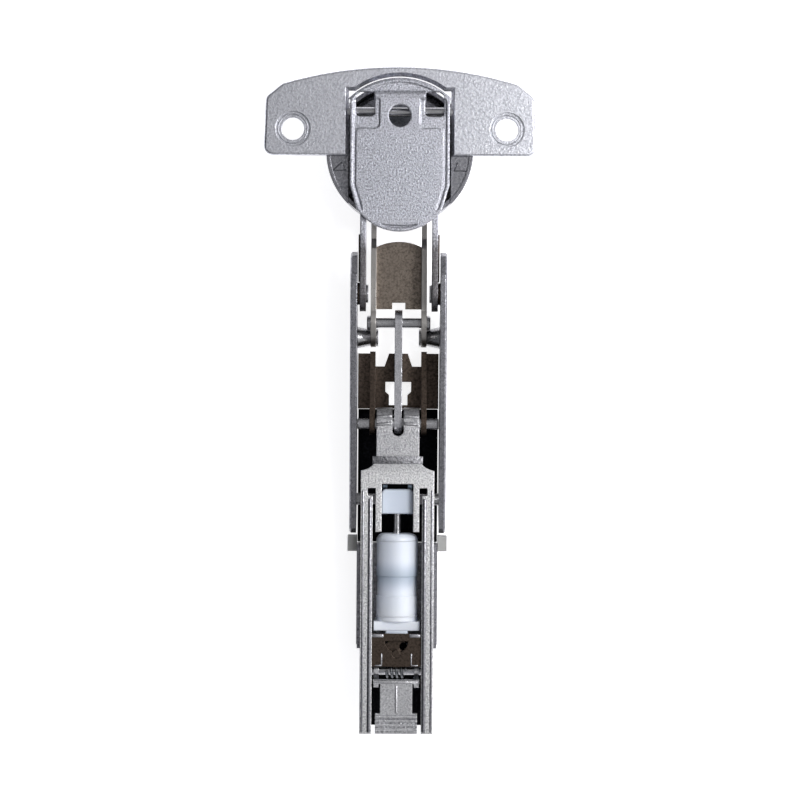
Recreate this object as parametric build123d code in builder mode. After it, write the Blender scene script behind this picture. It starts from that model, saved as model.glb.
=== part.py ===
"""Wide-angle concealed cabinet hinge with a 35 mm cup, in the 90 degree open pose.

Frame: X across the hinge, Y along the arm towards the cup, Z out of the door face.
The origin is the centre of the cup on the door face. All lengths are in millimetres.
Side plates are drawn in the YZ plane, so their points and pivots are (y, z) pairs.
"""
import os
from math import sqrt

from build123d import *

os.makedirs("parts", exist_ok=True)

# Pivots of the linkage, as (y, z)
CUP_PIVOT = (9.7, 0.3)
REAR_PIVOT = (-0.38, -5.5)
LINK_PIVOT = (-34.5, -0.92)
LEVER_PIVOT = (-41.4, -7.36)
CROSS_PIVOT = (-44.98, -9.45)
NOSE_PIVOT = (-66.2, -1.54)
CARRIER_PIVOT = (-84.7, -6.6)
LATCH_PIVOT = (-126.3, -2.6)

# Pins and their clearances
FIT_GAP = 0.05
PIN_CHAMFER = 0.2
CUP_PIN_R = 1.15
REAR_PIN_R = 1.2
LEVER_PIN_R = 1.25
NOSE_PIN_R = 1.35
CARRIER_PIN_R = 1.5
RIVET_R = 1.3
RIVET_HEAD_R = 2.2
RIVET_HEAD_T = 0.5
LATCH_PIN_R = 1.25

# Cup
CUP_R = 17.5
CUP_WALL = 1.0
CUP_DEPTH = 12.6
CUP_CORNER_R = 2.5
RIM_R = 17.85
RIM_HEIGHT = 1.0
RIM_WIDTH = 0.9
SHELF_TOP = 0.5
SHELF_T = 1.0
RIB_X = 14.5
RIB_Y = -3.9
RIB_HEIGHT = 0.4
MOUTH_HALF = 12.45
MOUTH_R = 18.35
MOUTH_CORNER_Y = 14.8
LINK_MOUTH_HALF = 7.8
LINK_MOUTH_Z = -9.6
BACK_MOUTH_Z = -5.4
LUG_INNER = 7.3
LUG_T = 1.2
LUG_R = 2.2
SPRING_HALF = 4.6
SPRING_T = 0.7
SPRING_TIP_Y = 13.0
RIB_SIDE = 3.2
RIB_BASE = 2.4
RIB_TAPER = 20

# Flange plate
FLANGE_HEIGHT = 1.8
FLANGE_T = 1.1
FLANGE_HALF = 33.1
FLANGE_BOTTOM = -1.0
FLANGE_PEAK = 20.56
FLANGE_ARC_R = 99.5
FLANGE_SHOULDER_X = 28.6
FLANGE_CORNER_X = 32.6
FLANGE_CORNER_Y = 13.1
FLANGE_CORNER_R = 2.2
FLANGE_EDGE_R = 0.6
MOUTH_CHAMFER = 0.8
MOUTH_TAPER = -45
PIN_SEAT_WIDTH = 2.2
SCREW_SPACING = 52.0
SCREW_Y = 5.4
SCREW_HOLE_R = 2.75
SCREW_RECESS_R = 4.2
SCREW_RECESS_DEPTH = 0.5

# Cover link, which lies over the mouth of the cup
COVER_Z = 2.2
COVER_T = 1.2
COVER_HALF = 12.07
COVER_R = 17.4
COVER_STEP_Y = -8.4
COVER_STEP_LENGTH = 5.6
COVER_LOW_HALF = 10.4
COVER_BOTTOM = -19.5
COVER_LOW_BOW = 1.4
COVER_LIP = 0.35
COVER_LIP_W = 0.8
COVER_HOLE_R = 2.72
COVER_HOLE_Y = 8.5
PANEL_NECK_HALF = 4.9
PANEL_TOP_Y = 13.2
PANEL_FLARE_TOP = 6.6
PANEL_FLARE_BOTTOM = 4.2
PANEL_MARGIN = 1.4
WINDOW_X = 8.4
WINDOW_W = 4.6
WINDOW_Y = 11.3
WINDOW_H = 6.0
WINDOW_CORNER_R = 0.9
TONGUE_HALF = 6.3
TONGUE_R = 1.6
TONGUE_Y = 13.4
TONGUE_RISE = 0.45
NECK_INNER = 8.0
NECK_T = 1.5
NECK_END_R = 4.3
NECK_ROOT = -8.0
NECK_DROP = 2.9
NECK_ROUNDING = 0.05
BARREL_R = 2.6
BARREL_INNER = 3.3
BARREL_OUTER = 6.0
WASHER_R = 2.7

# Inner link, a folded U
INNER_PLATE_X = 5.55
INNER_PLATE_T = 1.3
INNER_END_R = 6.0
INNER_EYE_R = 4.0
INNER_SLOT_R = 2.85
INNER_SLOT_SHIFT = (-0.3, -0.2)
INNER_WEB_T = 1.2
INNER_WEB_FRONT = -21.4
INNER_WEB_ARCH = 1.3
INNER_WEB_REAR = -38.0
INNER_NOTCH_HALF = 1.6
INNER_NOTCH_DEPTH = 1.6
INNER_LOW_Z = -8.7
INNER_ROUNDING = 0.5
LEVER_PIN_HALF = 7.8
LEVER_HEAD_R = 1.8

# Control lever
LEVER_PLATE_X = 5.6
LEVER_PLATE_T = 1.35
LEVER_END_R = 2.7
LEVER_FRONT = -48.5
LEVER_WEB_HALF = 9.9
LEVER_WEB_TOP = -7.5
LEVER_WEB_T = 1.2
LEVER_WEB_FRONT = -48.9
LEVER_WEB_MIDDLE = -52.1
LEVER_WEB_REAR = -62.5
LEVER_TAB_HALF = 2.3
LEVER_TAB_ROOT_HALF = 3.4
LEVER_HOLE_HALF = 3.16
LEVER_HOLE_FRONT = -55.9
LEVER_HOLE_REAR = -61.6
LEVER_HOLE_STEP = 0.9
LEVER_HOLE_EAVES = 2.4
LEVER_HOLE_SILL = 3.2
CENTRE_PLATE_T = 1.85
CENTRE_EYE_R = 3.25
CENTRE_SLOT_TRAVEL = 0.86
CENTRE_SLOT_R = 1.42
CENTRE_TAIL_R = 2.3
CENTRE_ROUNDING = 0.3
LEVER_ROUNDING = 0.4

# Carrier
CARRIER_X = 10.1
CARRIER_T = 1.65
CARRIER_EDGE_R = 0.4
CARRIER_ROUNDING = 0.6
BUSH_R = 2.7
BUSH_TIP_R = 2.0

# Hinge arm
ARM_TOP = 3.4
ARM_T = 1.4
ARM_HALF = 8.9
ARM_SHOULDER = -77.5
ARM_NECK = -73.6
ARM_END = -141.2
ARM_BOTTOM = -11.0
NOSE_HALF = 5.2
NOSE_R = 4.0
NOSE_SLOT_HALF = 1.37
NOSE_SLOT_END = -69.1
ARM_WINDOW_HALF = 3.84
ARM_WINDOW_FRONT = -80.7
ARM_BAY_HALF = 6.0
ARM_BAY_FRONT = -92.3
ARM_SLOT_INNER = 5.3
ARM_SLOT_FRONT = -83.5
HOOK_OUTER = 7.2
HOOK_FRONT = -81.7
ARM_NOTCH_Y = -134.2
ARM_NOTCH_LENGTH = 1.3
ARM_NOTCH_DEPTH = 0.7
ARM_ROUNDING = 0.5
NOSE_ROUNDING = 0.3

# Arm base, which wraps the lower part of the arm
BASE_T = 0.95
BASE_FLOOR_T = 0.9
BASE_TOP = -1.5
BASE_FRONT = -95.6
BASE_BACK = -120.0
FOOT_LENGTH = 1.7
FOOT_HEIGHT = 3.0
PAD_REACH = 2.25
PAD_LENGTH = 3.7
PAD_OVERHANG = 1.6
PAD_TOP = -1.0
PAD_HEIGHT = 7.0

# Damper
DAMPER_R = 5.0
DAMPER_Z = -1.6
DAMPER_FRONT = -92.8
DAMPER_BACK = -114.1
DAMPER_BORE_R = 1.05
DAMPER_BORE_LENGTH = 9.5
DAMPER_DOME_R = 1.6
BAND_WIDTH = 4.8
BAND_Y = -103.2
BAND_DEPTH = 0.2
SHOULDER_HALF = 5.55
SHOULDER_LENGTH = 2.2
ROD_R = 0.93
ROD_LENGTH = 9.0
ROD_SEAT = 1.5
HEAD_FRONT = -82.0
HEAD_BACK = -88.0
HEAD_HALF = 3.9
HEAD_TOP = 1.6
HEAD_BOTTOM = -1.5
HEAD_CORNER_R = 1.2
HEAD_EDGE_R = 0.5
HEEL_HALF = 2.2
HEEL_FRONT = -84.95
HEEL_BACK = -87.6
HEEL_BOTTOM = -4.5
FORK_R = 4.0
FORK_INNER = 2.5
FORK_T = 1.1
FORK_HUB_R = 1.9
FORK_LUG = (0.73, 4.1)
FORK_LUG_R = 0.7

# Bridge plate and depth cam
BRIDGE_FRONT = -117.0
BRIDGE_BACK = -125.0
BRIDGE_TOP = 2.8
BRIDGE_T = 1.2
MOON_R = 2.8
MOON_Y = -118.8
CAM_R = 3.4
CAM_T = 1.3
CAM_GAP = 0.1
CAM_Y = -121.9
STUD_R = 1.0

# Clip latch
LATCH_FRONT = -128.2
LATCH_BAR_HALF = 5.6
LATCH_BAR_LENGTH = 1.0
LATCH_BODY_HALF = 3.9
LATCH_BODY_BACK = -136.4
LATCH_THUMB_HALF = 5.1
LATCH_BACK = -141.3
LATCH_TOP = 2.4
LATCH_T = 1.5
LATCH_EYE_R = 2.5
LATCH_CHEEK_X = 4.3
LATCH_CHEEK_T = 1.2
LATCH_HOOK_Z = -11.2
LATCH_RIDGE_R = 0.45
THUMB_RIDGES = 4
THUMB_RIDGE_START = 0.8
LATCH_ROUNDING = 0.2
COIL_R = 1.75
COIL_WIRE_R = 0.35
COIL_HALF = 2.4
COIL_TURNS = 4

# Heights and widths that follow from the sizes above
FLANGE_SHOULDER_Y = FLANGE_PEAK - FLANGE_ARC_R + sqrt(FLANGE_ARC_R**2 - FLANGE_SHOULDER_X**2)
PIN_SEAT_HALF = MOUTH_HALF + PIN_SEAT_WIDTH / 2
LUG_OUTER = LUG_INNER + LUG_T
CUP_FLOOR = CUP_WALL - CUP_DEPTH
COVER_TOP = COVER_Z + COVER_T
COVER_CORNER_Y = sqrt(COVER_R**2 - COVER_HALF**2)
COVER_LOW_Y = COVER_STEP_Y - COVER_STEP_LENGTH
NECK_OUTER = NECK_INNER + NECK_T
INNER_OUTER_X = INNER_PLATE_X + INNER_PLATE_T
CARRIER_OUTER = CARRIER_X + CARRIER_T
CENTRE_HALF = CENTRE_PLATE_T / 2
BASE_HALF = ARM_HALF + BASE_T
BASE_FLOOR = -CUP_DEPTH + BASE_FLOOR_T
LATCH_CHEEK_OUTER = LATCH_CHEEK_X + LATCH_CHEEK_T


def shifted(point, along, up):
    """Give the (y, z) point that lies beside another."""
    return (point[0] + along, point[1] + up)


def disc(pivot, radius, start):
    """Draw a round section about a pivot, on the YZ plane at X = start."""
    with BuildSketch(Plane.YZ.offset(start)) as section:
        with Locations(pivot):
            Circle(radius)
    return section.sketch


def plate_profile(start, points, rounding):
    """Draw a plate outline with rounded corners, on the YZ plane at X = start."""
    with BuildSketch(Plane.YZ.offset(start)) as section:
        with BuildLine():
            Polyline(*points, close=True)
        make_face()
        fillet(section.vertices(), radius=rounding)
    return section.sketch


# Flange plate: a shallow pressing with two screw wings and a notch for the cover link
with BuildPart() as flange_plate:
    with BuildSketch() as outline:
        with BuildLine():
            Polyline(
                (FLANGE_SHOULDER_X, FLANGE_SHOULDER_Y),
                (FLANGE_CORNER_X, FLANGE_CORNER_Y),
                (FLANGE_HALF, FLANGE_BOTTOM),
                (-FLANGE_HALF, FLANGE_BOTTOM),
                (-FLANGE_CORNER_X, FLANGE_CORNER_Y),
                (-FLANGE_SHOULDER_X, FLANGE_SHOULDER_Y),
            )
            ThreePointArc(
                (-FLANGE_SHOULDER_X, FLANGE_SHOULDER_Y),
                (0, FLANGE_PEAK),
                (FLANGE_SHOULDER_X, FLANGE_SHOULDER_Y),
            )
        make_face()
        fillet(outline.vertices(), radius=FLANGE_CORNER_R)
    extrude(amount=FLANGE_HEIGHT)
    fillet(flange_plate.faces().sort_by(Axis.Z)[-1].edges(), radius=FLANGE_EDGE_R)
    with BuildSketch() as hollow:
        add(outline.sketch_local)
        offset(amount=-FLANGE_T, mode=Mode.REPLACE)
        for side in (-1, 1):
            with Locations((side * SCREW_SPACING / 2, SCREW_Y)):
                Circle(SCREW_RECESS_R, mode=Mode.SUBTRACT)
        Rectangle(2 * (MOUTH_HALF + PIN_SEAT_WIDTH), 4 * CUP_R, mode=Mode.SUBTRACT)
    extrude(amount=FLANGE_HEIGHT - FLANGE_T, mode=Mode.SUBTRACT)
    with BuildSketch() as mouth:
        Circle(MOUTH_R)
        Rectangle(2 * MOUTH_HALF, 4 * CUP_R, mode=Mode.INTERSECT)
        Rectangle(2 * MOUTH_HALF, 2 * MOUTH_CORNER_Y)
    extrude(amount=FLANGE_HEIGHT, mode=Mode.SUBTRACT)
    with BuildSketch(Plane.XY.offset(FLANGE_HEIGHT - MOUTH_CHAMFER)) as bevel:
        add(mouth.sketch_local)
    extrude(amount=MOUTH_CHAMFER, taper=MOUTH_TAPER, mode=Mode.SUBTRACT)
    with Locations(*[(side * SCREW_SPACING / 2, SCREW_Y, FLANGE_HEIGHT) for side in (-1, 1)]):
        CounterBoreHole(SCREW_HOLE_R, SCREW_RECESS_R, SCREW_RECESS_DEPTH)
    extrude(disc(CUP_PIVOT, CUP_PIN_R, -PIN_SEAT_HALF), amount=2 * PIN_SEAT_HALF, mode=Mode.SUBTRACT)
flange_plate.part.label = "flange_plate"
export_step(flange_plate.part, "parts/flange_plate.step")

# Cup: a deep-drawn bowl with a lipped shelf, open over the mouth and towards the arm
with BuildPart() as cup_bowl:
    with BuildSketch(Plane.XZ) as cup_section:
        with BuildLine():
            Polyline(
                (0, -CUP_DEPTH),
                (CUP_R, -CUP_DEPTH),
                (CUP_R, 0),
                (RIM_R, 0),
                (RIM_R, RIM_HEIGHT),
                (RIM_R - RIM_WIDTH, RIM_HEIGHT),
                (RIM_R - RIM_WIDTH, SHELF_TOP),
                (0, SHELF_TOP),
                close=True,
            )
        make_face()
        fillet(cup_section.vertices().group_by(Axis.Y)[0].sort_by(Axis.X)[-1], CUP_CORNER_R)
    revolve(axis=Axis.Z)
    with BuildSketch(Plane.XZ) as cavity:
        with BuildLine():
            Polyline(
                (0, CUP_FLOOR),
                (CUP_R - CUP_WALL, CUP_FLOOR),
                (CUP_R - CUP_WALL, SHELF_TOP - SHELF_T),
                (0, SHELF_TOP - SHELF_T),
                close=True,
            )
        make_face()
        fillet(cavity.vertices().group_by(Axis.Y)[0].sort_by(Axis.X)[-1], CUP_CORNER_R - CUP_WALL)
    revolve(axis=Axis.Z, mode=Mode.SUBTRACT)
    with BuildSketch(Plane.XY.offset(SHELF_TOP - SHELF_T)) as shelf_mouth:
        Rectangle(2 * MOUTH_HALF, 4 * CUP_R)
    extrude(amount=SHELF_T + RIM_HEIGHT, mode=Mode.SUBTRACT)
    with BuildSketch(Plane.XZ) as front_gate:
        with Locations((0, LINK_MOUTH_Z / 2)):
            Rectangle(2 * LINK_MOUTH_HALF, -LINK_MOUTH_Z)
    extrude(amount=2 * CUP_R, mode=Mode.SUBTRACT)
    with BuildSketch(Plane.XZ) as back_gate:
        with Locations((0, BACK_MOUTH_Z / 2)):
            Rectangle(2 * MOUTH_HALF, -BACK_MOUTH_Z)
    extrude(amount=-2 * CUP_R, mode=Mode.SUBTRACT)
    with BuildSketch(Plane.YZ.offset(LUG_INNER)) as lug:
        with Locations(REAR_PIVOT):
            Circle(LUG_R)
        with Locations((REAR_PIVOT[0], (REAR_PIVOT[1] + CUP_FLOOR) / 2)):
            Rectangle(2 * LUG_R, REAR_PIVOT[1] - CUP_FLOOR)
    lug_solid = extrude(amount=LUG_T)
    mirror(lug_solid, about=Plane.YZ)
    extrude(disc(REAR_PIVOT, REAR_PIN_R, -LUG_OUTER), amount=2 * LUG_OUTER, mode=Mode.SUBTRACT)
    with BuildSketch(Plane.XY.offset(SHELF_TOP)) as rib:
        with Locations((RIB_X, RIB_Y)):
            Triangle(a=RIB_SIDE, b=RIB_SIDE, c=RIB_BASE)
    rib_solid = extrude(amount=RIB_HEIGHT, taper=RIB_TAPER)
    mirror(rib_solid, about=Plane.YZ)
    with BuildSketch() as under_flange:
        with Locations((0, FLANGE_BOTTOM + CUP_R)):
            Rectangle(4 * CUP_R, 2 * CUP_R)
    extrude(amount=2 * RIM_HEIGHT, mode=Mode.SUBTRACT)
    extrude(disc(CUP_PIVOT, CUP_PIN_R, -PIN_SEAT_HALF), amount=2 * PIN_SEAT_HALF, mode=Mode.SUBTRACT)
cup_bowl.part.label = "cup_bowl"
export_step(cup_bowl.part, "parts/cup_bowl.step")

# Cup pin: held between the flange and the shelf of the cup
with BuildPart() as cup_pin:
    extrude(disc(CUP_PIVOT, CUP_PIN_R, -PIN_SEAT_HALF), amount=2 * PIN_SEAT_HALF)
    chamfer(cup_pin.edges().filter_by(GeomType.CIRCLE), length=PIN_CHAMFER)
cup_pin.part.label = "cup_pin"
export_step(cup_pin.part, "parts/cup_pin.step")

# Rear pin: held in the two lugs on the floor of the cup
with BuildPart() as rear_pin:
    extrude(disc(REAR_PIVOT, REAR_PIN_R, -LUG_OUTER), amount=2 * LUG_OUTER)
    chamfer(rear_pin.edges().filter_by(GeomType.CIRCLE), length=PIN_CHAMFER)
rear_pin.part.label = "rear_pin"
export_step(rear_pin.part, "parts/rear_pin.step")

# Closing spring: a leaf that loops round the rear pin and presses on the floor of the cup
with BuildPart() as closing_spring:
    with BuildSketch(Plane.YZ.offset(-SPRING_HALF)) as leaf:
        with Locations(REAR_PIVOT):
            Circle(REAR_PIN_R + SPRING_T)
        with BuildLine():
            Polyline(
                shifted(REAR_PIVOT, REAR_PIN_R, 0),
                shifted(REAR_PIVOT, REAR_PIN_R + SPRING_T, 0),
                (REAR_PIVOT[0] + REAR_PIN_R + 2 * SPRING_T, CUP_FLOOR + 2 * SPRING_T),
                (SPRING_TIP_Y, CUP_FLOOR + SPRING_T),
                (SPRING_TIP_Y, CUP_FLOOR),
                (REAR_PIVOT[0] + REAR_PIN_R, CUP_FLOOR),
                close=True,
            )
        make_face()
        with Locations(REAR_PIVOT):
            Circle(REAR_PIN_R, mode=Mode.SUBTRACT)
    extrude(amount=2 * SPRING_HALF)
closing_spring.part.label = "closing_spring"
export_step(closing_spring.part, "parts/closing_spring.step")

# Cover link: the wide cover over the mouth, its pin barrels and its two neck plates
with BuildPart() as cover_link:
    with BuildSketch(Plane.XY.offset(COVER_Z)) as cover:
        with BuildLine():
            ThreePointArc((-COVER_HALF, COVER_CORNER_Y), (0, COVER_R), (COVER_HALF, COVER_CORNER_Y))
            Line((COVER_HALF, COVER_CORNER_Y), (COVER_HALF, COVER_STEP_Y))
            Line((COVER_HALF, COVER_STEP_Y), (COVER_LOW_HALF, COVER_LOW_Y))
            ThreePointArc(
                (COVER_LOW_HALF, COVER_LOW_Y),
                (0, COVER_BOTTOM),
                (-COVER_LOW_HALF, COVER_LOW_Y),
            )
            Line((-COVER_LOW_HALF, COVER_LOW_Y), (-COVER_HALF, COVER_STEP_Y))
            Line((-COVER_HALF, COVER_STEP_Y), (-COVER_HALF, COVER_CORNER_Y))
        make_face()
    extrude(amount=COVER_T + COVER_LIP)
    with BuildSketch(Plane.XY.offset(COVER_TOP)) as pocket:
        add(cover.sketch_local)
        offset(amount=-COVER_LIP_W, mode=Mode.REPLACE)
        with BuildLine():
            Polyline(
                (PANEL_NECK_HALF, PANEL_FLARE_TOP),
                (PANEL_NECK_HALF, PANEL_TOP_Y),
                (-PANEL_NECK_HALF, PANEL_TOP_Y),
                (-PANEL_NECK_HALF, PANEL_FLARE_TOP),
            )
            Spline(
                (-PANEL_NECK_HALF, PANEL_FLARE_TOP),
                (PANEL_MARGIN - COVER_HALF, PANEL_FLARE_BOTTOM),
                tangents=[(0, -1), (0, -1)],
            )
            Polyline(
                (PANEL_MARGIN - COVER_HALF, PANEL_FLARE_BOTTOM),
                (PANEL_MARGIN - COVER_HALF, COVER_STEP_Y),
                (PANEL_MARGIN - COVER_LOW_HALF, COVER_LOW_Y),
                (PANEL_MARGIN - COVER_LOW_HALF, COVER_BOTTOM + PANEL_MARGIN + COVER_LOW_BOW),
            )
            ThreePointArc(
                (PANEL_MARGIN - COVER_LOW_HALF, COVER_BOTTOM + PANEL_MARGIN + COVER_LOW_BOW),
                (0, COVER_BOTTOM + PANEL_MARGIN),
                (COVER_LOW_HALF - PANEL_MARGIN, COVER_BOTTOM + PANEL_MARGIN + COVER_LOW_BOW),
            )
            Polyline(
                (COVER_LOW_HALF - PANEL_MARGIN, COVER_BOTTOM + PANEL_MARGIN + COVER_LOW_BOW),
                (COVER_LOW_HALF - PANEL_MARGIN, COVER_LOW_Y),
                (COVER_HALF - PANEL_MARGIN, COVER_STEP_Y),
                (COVER_HALF - PANEL_MARGIN, PANEL_FLARE_BOTTOM),
            )
            Spline(
                (COVER_HALF - PANEL_MARGIN, PANEL_FLARE_BOTTOM),
                (PANEL_NECK_HALF, PANEL_FLARE_TOP),
                tangents=[(0, 1), (0, 1)],
            )
        make_face(mode=Mode.SUBTRACT)
    extrude(amount=COVER_LIP, mode=Mode.SUBTRACT)
    barrel = extrude(disc(CUP_PIVOT, BARREL_R, BARREL_INNER), amount=BARREL_OUTER - BARREL_INNER)
    mirror(barrel, about=Plane.YZ)
    extrude(
        disc((TONGUE_Y, COVER_TOP + TONGUE_RISE - TONGUE_R), TONGUE_R, -TONGUE_HALF),
        amount=2 * TONGUE_HALF,
    )
    neck_outline = [
        (NECK_ROOT, COVER_Z),
        (NECK_ROOT, COVER_Z - NECK_DROP / 2),
        (COVER_BOTTOM, COVER_Z - NECK_DROP),
        shifted(LINK_PIVOT, NECK_END_R / 2, -NECK_END_R * 0.86),
        shifted(LINK_PIVOT, -NECK_END_R / 2, 0),
        shifted(LINK_PIVOT, 0, NECK_END_R),
        (COVER_BOTTOM - NECK_DROP, COVER_Z),
    ]
    neck = extrude(plate_profile(NECK_INNER, neck_outline, NECK_ROUNDING), amount=NECK_T)
    mirror(neck, about=Plane.YZ)
    neck_eye = extrude(disc(LINK_PIVOT, NECK_END_R, NECK_INNER), amount=NECK_T)
    mirror(neck_eye, about=Plane.YZ)
    with BuildSketch(Plane.XY.offset(COVER_Z)) as windows:
        with Locations(*[(side * WINDOW_X, WINDOW_Y) for side in (-1, 1)]):
            RectangleRounded(WINDOW_W, WINDOW_H, WINDOW_CORNER_R)
        with Locations((0, COVER_HOLE_Y)):
            Circle(COVER_HOLE_R)
    extrude(amount=2 * COVER_T, mode=Mode.SUBTRACT)
    extrude(
        disc(CUP_PIVOT, CUP_PIN_R + FIT_GAP, -COVER_HALF),
        amount=2 * COVER_HALF,
        mode=Mode.SUBTRACT,
    )
    extrude(
        disc(LINK_PIVOT, RIVET_R + FIT_GAP, -NECK_OUTER),
        amount=2 * NECK_OUTER,
        mode=Mode.SUBTRACT,
    )
cover_link.part.label = "cover_link"
export_step(cover_link.part, "parts/cover_link.step")

# Inner link: a folded U with a web between its plates
with BuildPart() as inner_link:
    upper_edge = [
        shifted(REAR_PIVOT, -1.5, 3.2),
        (-20.8, -4.6),
        (-23.2, -3.4),
        (-31.0, -1.8),
        shifted(LEVER_PIVOT, 0, 5.2),
    ]
    lower_edge = [
        shifted(LEVER_PIVOT, 0, -4.6),
        shifted(LEVER_PIVOT, 3.5, -4.6),
        (-35.0, -9.2),
        (INNER_WEB_FRONT, INNER_LOW_Z),
        shifted(REAR_PIVOT, -1.5, -3.6),
    ]
    inner_plate = extrude(
        plate_profile(INNER_PLATE_X, upper_edge + lower_edge, INNER_ROUNDING),
        amount=INNER_PLATE_T,
    )
    mirror(inner_plate, about=Plane.YZ)
    rear_eye = extrude(
        disc(shifted(REAR_PIVOT, *INNER_SLOT_SHIFT), INNER_EYE_R, INNER_PLATE_X),
        amount=INNER_PLATE_T,
    )
    mirror(rear_eye, about=Plane.YZ)
    with BuildSketch(Plane.YZ.offset(INNER_PLATE_X)) as knuckle:
        with Locations(LEVER_PIVOT):
            Circle(INNER_END_R)
        with Locations((LEVER_PIVOT[0], ARM_BOTTOM - FIT_GAP)):
            Rectangle(4 * INNER_END_R, -2 * ARM_BOTTOM, align=(Align.CENTER, Align.MIN), mode=Mode.INTERSECT)
    knuckle_solid = extrude(amount=INNER_PLATE_T)
    mirror(knuckle_solid, about=Plane.YZ)
    with BuildSketch(Plane.XY.offset(INNER_LOW_Z)) as web:
        with BuildLine():
            ThreePointArc(
                (-INNER_PLATE_X, INNER_WEB_FRONT - INNER_WEB_ARCH),
                (0, INNER_WEB_FRONT),
                (INNER_PLATE_X, INNER_WEB_FRONT - INNER_WEB_ARCH),
            )
            Polyline(
                (INNER_PLATE_X, INNER_WEB_FRONT - INNER_WEB_ARCH),
                (INNER_PLATE_X, INNER_WEB_REAR),
                (INNER_NOTCH_HALF, INNER_WEB_REAR),
                (INNER_NOTCH_HALF, INNER_WEB_REAR + INNER_NOTCH_DEPTH),
                (-INNER_NOTCH_HALF, INNER_WEB_REAR + INNER_NOTCH_DEPTH),
                (-INNER_NOTCH_HALF, INNER_WEB_REAR),
                (-INNER_PLATE_X, INNER_WEB_REAR),
                (-INNER_PLATE_X, INNER_WEB_FRONT - INNER_WEB_ARCH),
            )
        make_face()
    extrude(amount=INNER_WEB_T)
    for pivot, radius in (
        (CROSS_PIVOT, RIVET_R + FIT_GAP),
        (LEVER_PIVOT, LEVER_PIN_R),
        (shifted(REAR_PIVOT, *INNER_SLOT_SHIFT), INNER_SLOT_R),
    ):
        extrude(disc(pivot, radius, -INNER_OUTER_X), amount=2 * INNER_OUTER_X, mode=Mode.SUBTRACT)
inner_link.part.label = "inner_link"
export_step(inner_link.part, "parts/inner_link.step")

# Lever pin: fixed in the inner link, with a riveted head at each end
with BuildPart() as lever_pin:
    extrude(disc(LEVER_PIVOT, LEVER_PIN_R, -INNER_OUTER_X), amount=2 * INNER_OUTER_X)
    head = extrude(disc(LEVER_PIVOT, LEVER_HEAD_R, INNER_OUTER_X), amount=LEVER_PIN_HALF - INNER_OUTER_X)
    mirror(head, about=Plane.YZ)
    chamfer(lever_pin.faces().filter_by(Axis.X).group_by(Axis.X)[-1].edges(), length=PIN_CHAMFER)
    chamfer(lever_pin.faces().filter_by(Axis.X).group_by(Axis.X)[0].edges(), length=PIN_CHAMFER)
lever_pin.part.label = "lever_pin"
export_step(lever_pin.part, "parts/lever_pin.step")

# Control lever: a folded plate with a tab, a stepped hole and two side plates
with BuildPart() as control_lever:
    with BuildSketch(Plane.XY.offset(LEVER_WEB_TOP - LEVER_WEB_T)) as lever_web:
        with BuildLine():
            Polyline(
                (-LEVER_WEB_HALF, LEVER_WEB_REAR),
                (-LEVER_WEB_HALF, LEVER_WEB_FRONT),
                (-LEVER_PLATE_X, LEVER_WEB_FRONT),
                (-LEVER_PLATE_X, LEVER_WEB_MIDDLE),
                (-LEVER_TAB_ROOT_HALF, LEVER_WEB_MIDDLE),
                (-LEVER_TAB_HALF, LEVER_WEB_FRONT),
                (LEVER_TAB_HALF, LEVER_WEB_FRONT),
                (LEVER_TAB_ROOT_HALF, LEVER_WEB_MIDDLE),
                (LEVER_PLATE_X, LEVER_WEB_MIDDLE),
                (LEVER_PLATE_X, LEVER_WEB_FRONT),
                (LEVER_WEB_HALF, LEVER_WEB_FRONT),
                (LEVER_WEB_HALF, LEVER_WEB_REAR),
                close=True,
            )
        make_face()
        with BuildLine():
            Polyline(
                (-LEVER_HOLE_HALF, LEVER_HOLE_FRONT),
                (LEVER_HOLE_HALF, LEVER_HOLE_FRONT),
                (LEVER_HOLE_HALF, LEVER_HOLE_FRONT - LEVER_HOLE_EAVES),
                (LEVER_HOLE_HALF - LEVER_HOLE_STEP, LEVER_HOLE_FRONT - LEVER_HOLE_SILL),
                (LEVER_HOLE_HALF - LEVER_HOLE_STEP, LEVER_HOLE_REAR),
                (LEVER_HOLE_STEP - LEVER_HOLE_HALF, LEVER_HOLE_REAR),
                (LEVER_HOLE_STEP - LEVER_HOLE_HALF, LEVER_HOLE_FRONT - LEVER_HOLE_SILL),
                (-LEVER_HOLE_HALF, LEVER_HOLE_FRONT - LEVER_HOLE_EAVES),
                close=True,
            )
        make_face(mode=Mode.SUBTRACT)
    extrude(amount=LEVER_WEB_T)
    lever_outline = [
        (LEVER_FRONT, LEVER_WEB_TOP - LEVER_WEB_T),
        (LEVER_FRONT, -3.9),
        shifted(NOSE_PIVOT, 0.4, LEVER_END_R),
        shifted(NOSE_PIVOT, 0.4, -LEVER_END_R),
        (LEVER_WEB_REAR, LEVER_WEB_TOP - LEVER_WEB_T),
    ]
    side_plate = extrude(plate_profile(LEVER_PLATE_X, lever_outline, LEVER_ROUNDING), amount=LEVER_PLATE_T)
    mirror(side_plate, about=Plane.YZ)
    lever_eye = extrude(disc(NOSE_PIVOT, LEVER_END_R, LEVER_PLATE_X), amount=LEVER_PLATE_T)
    mirror(lever_eye, about=Plane.YZ)
    extrude(
        disc(NOSE_PIVOT, NOSE_PIN_R + FIT_GAP, -LEVER_WEB_HALF),
        amount=2 * LEVER_WEB_HALF,
        mode=Mode.SUBTRACT,
    )
control_lever.part.label = "control_lever"
export_step(control_lever.part, "parts/control_lever.step")

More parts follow.
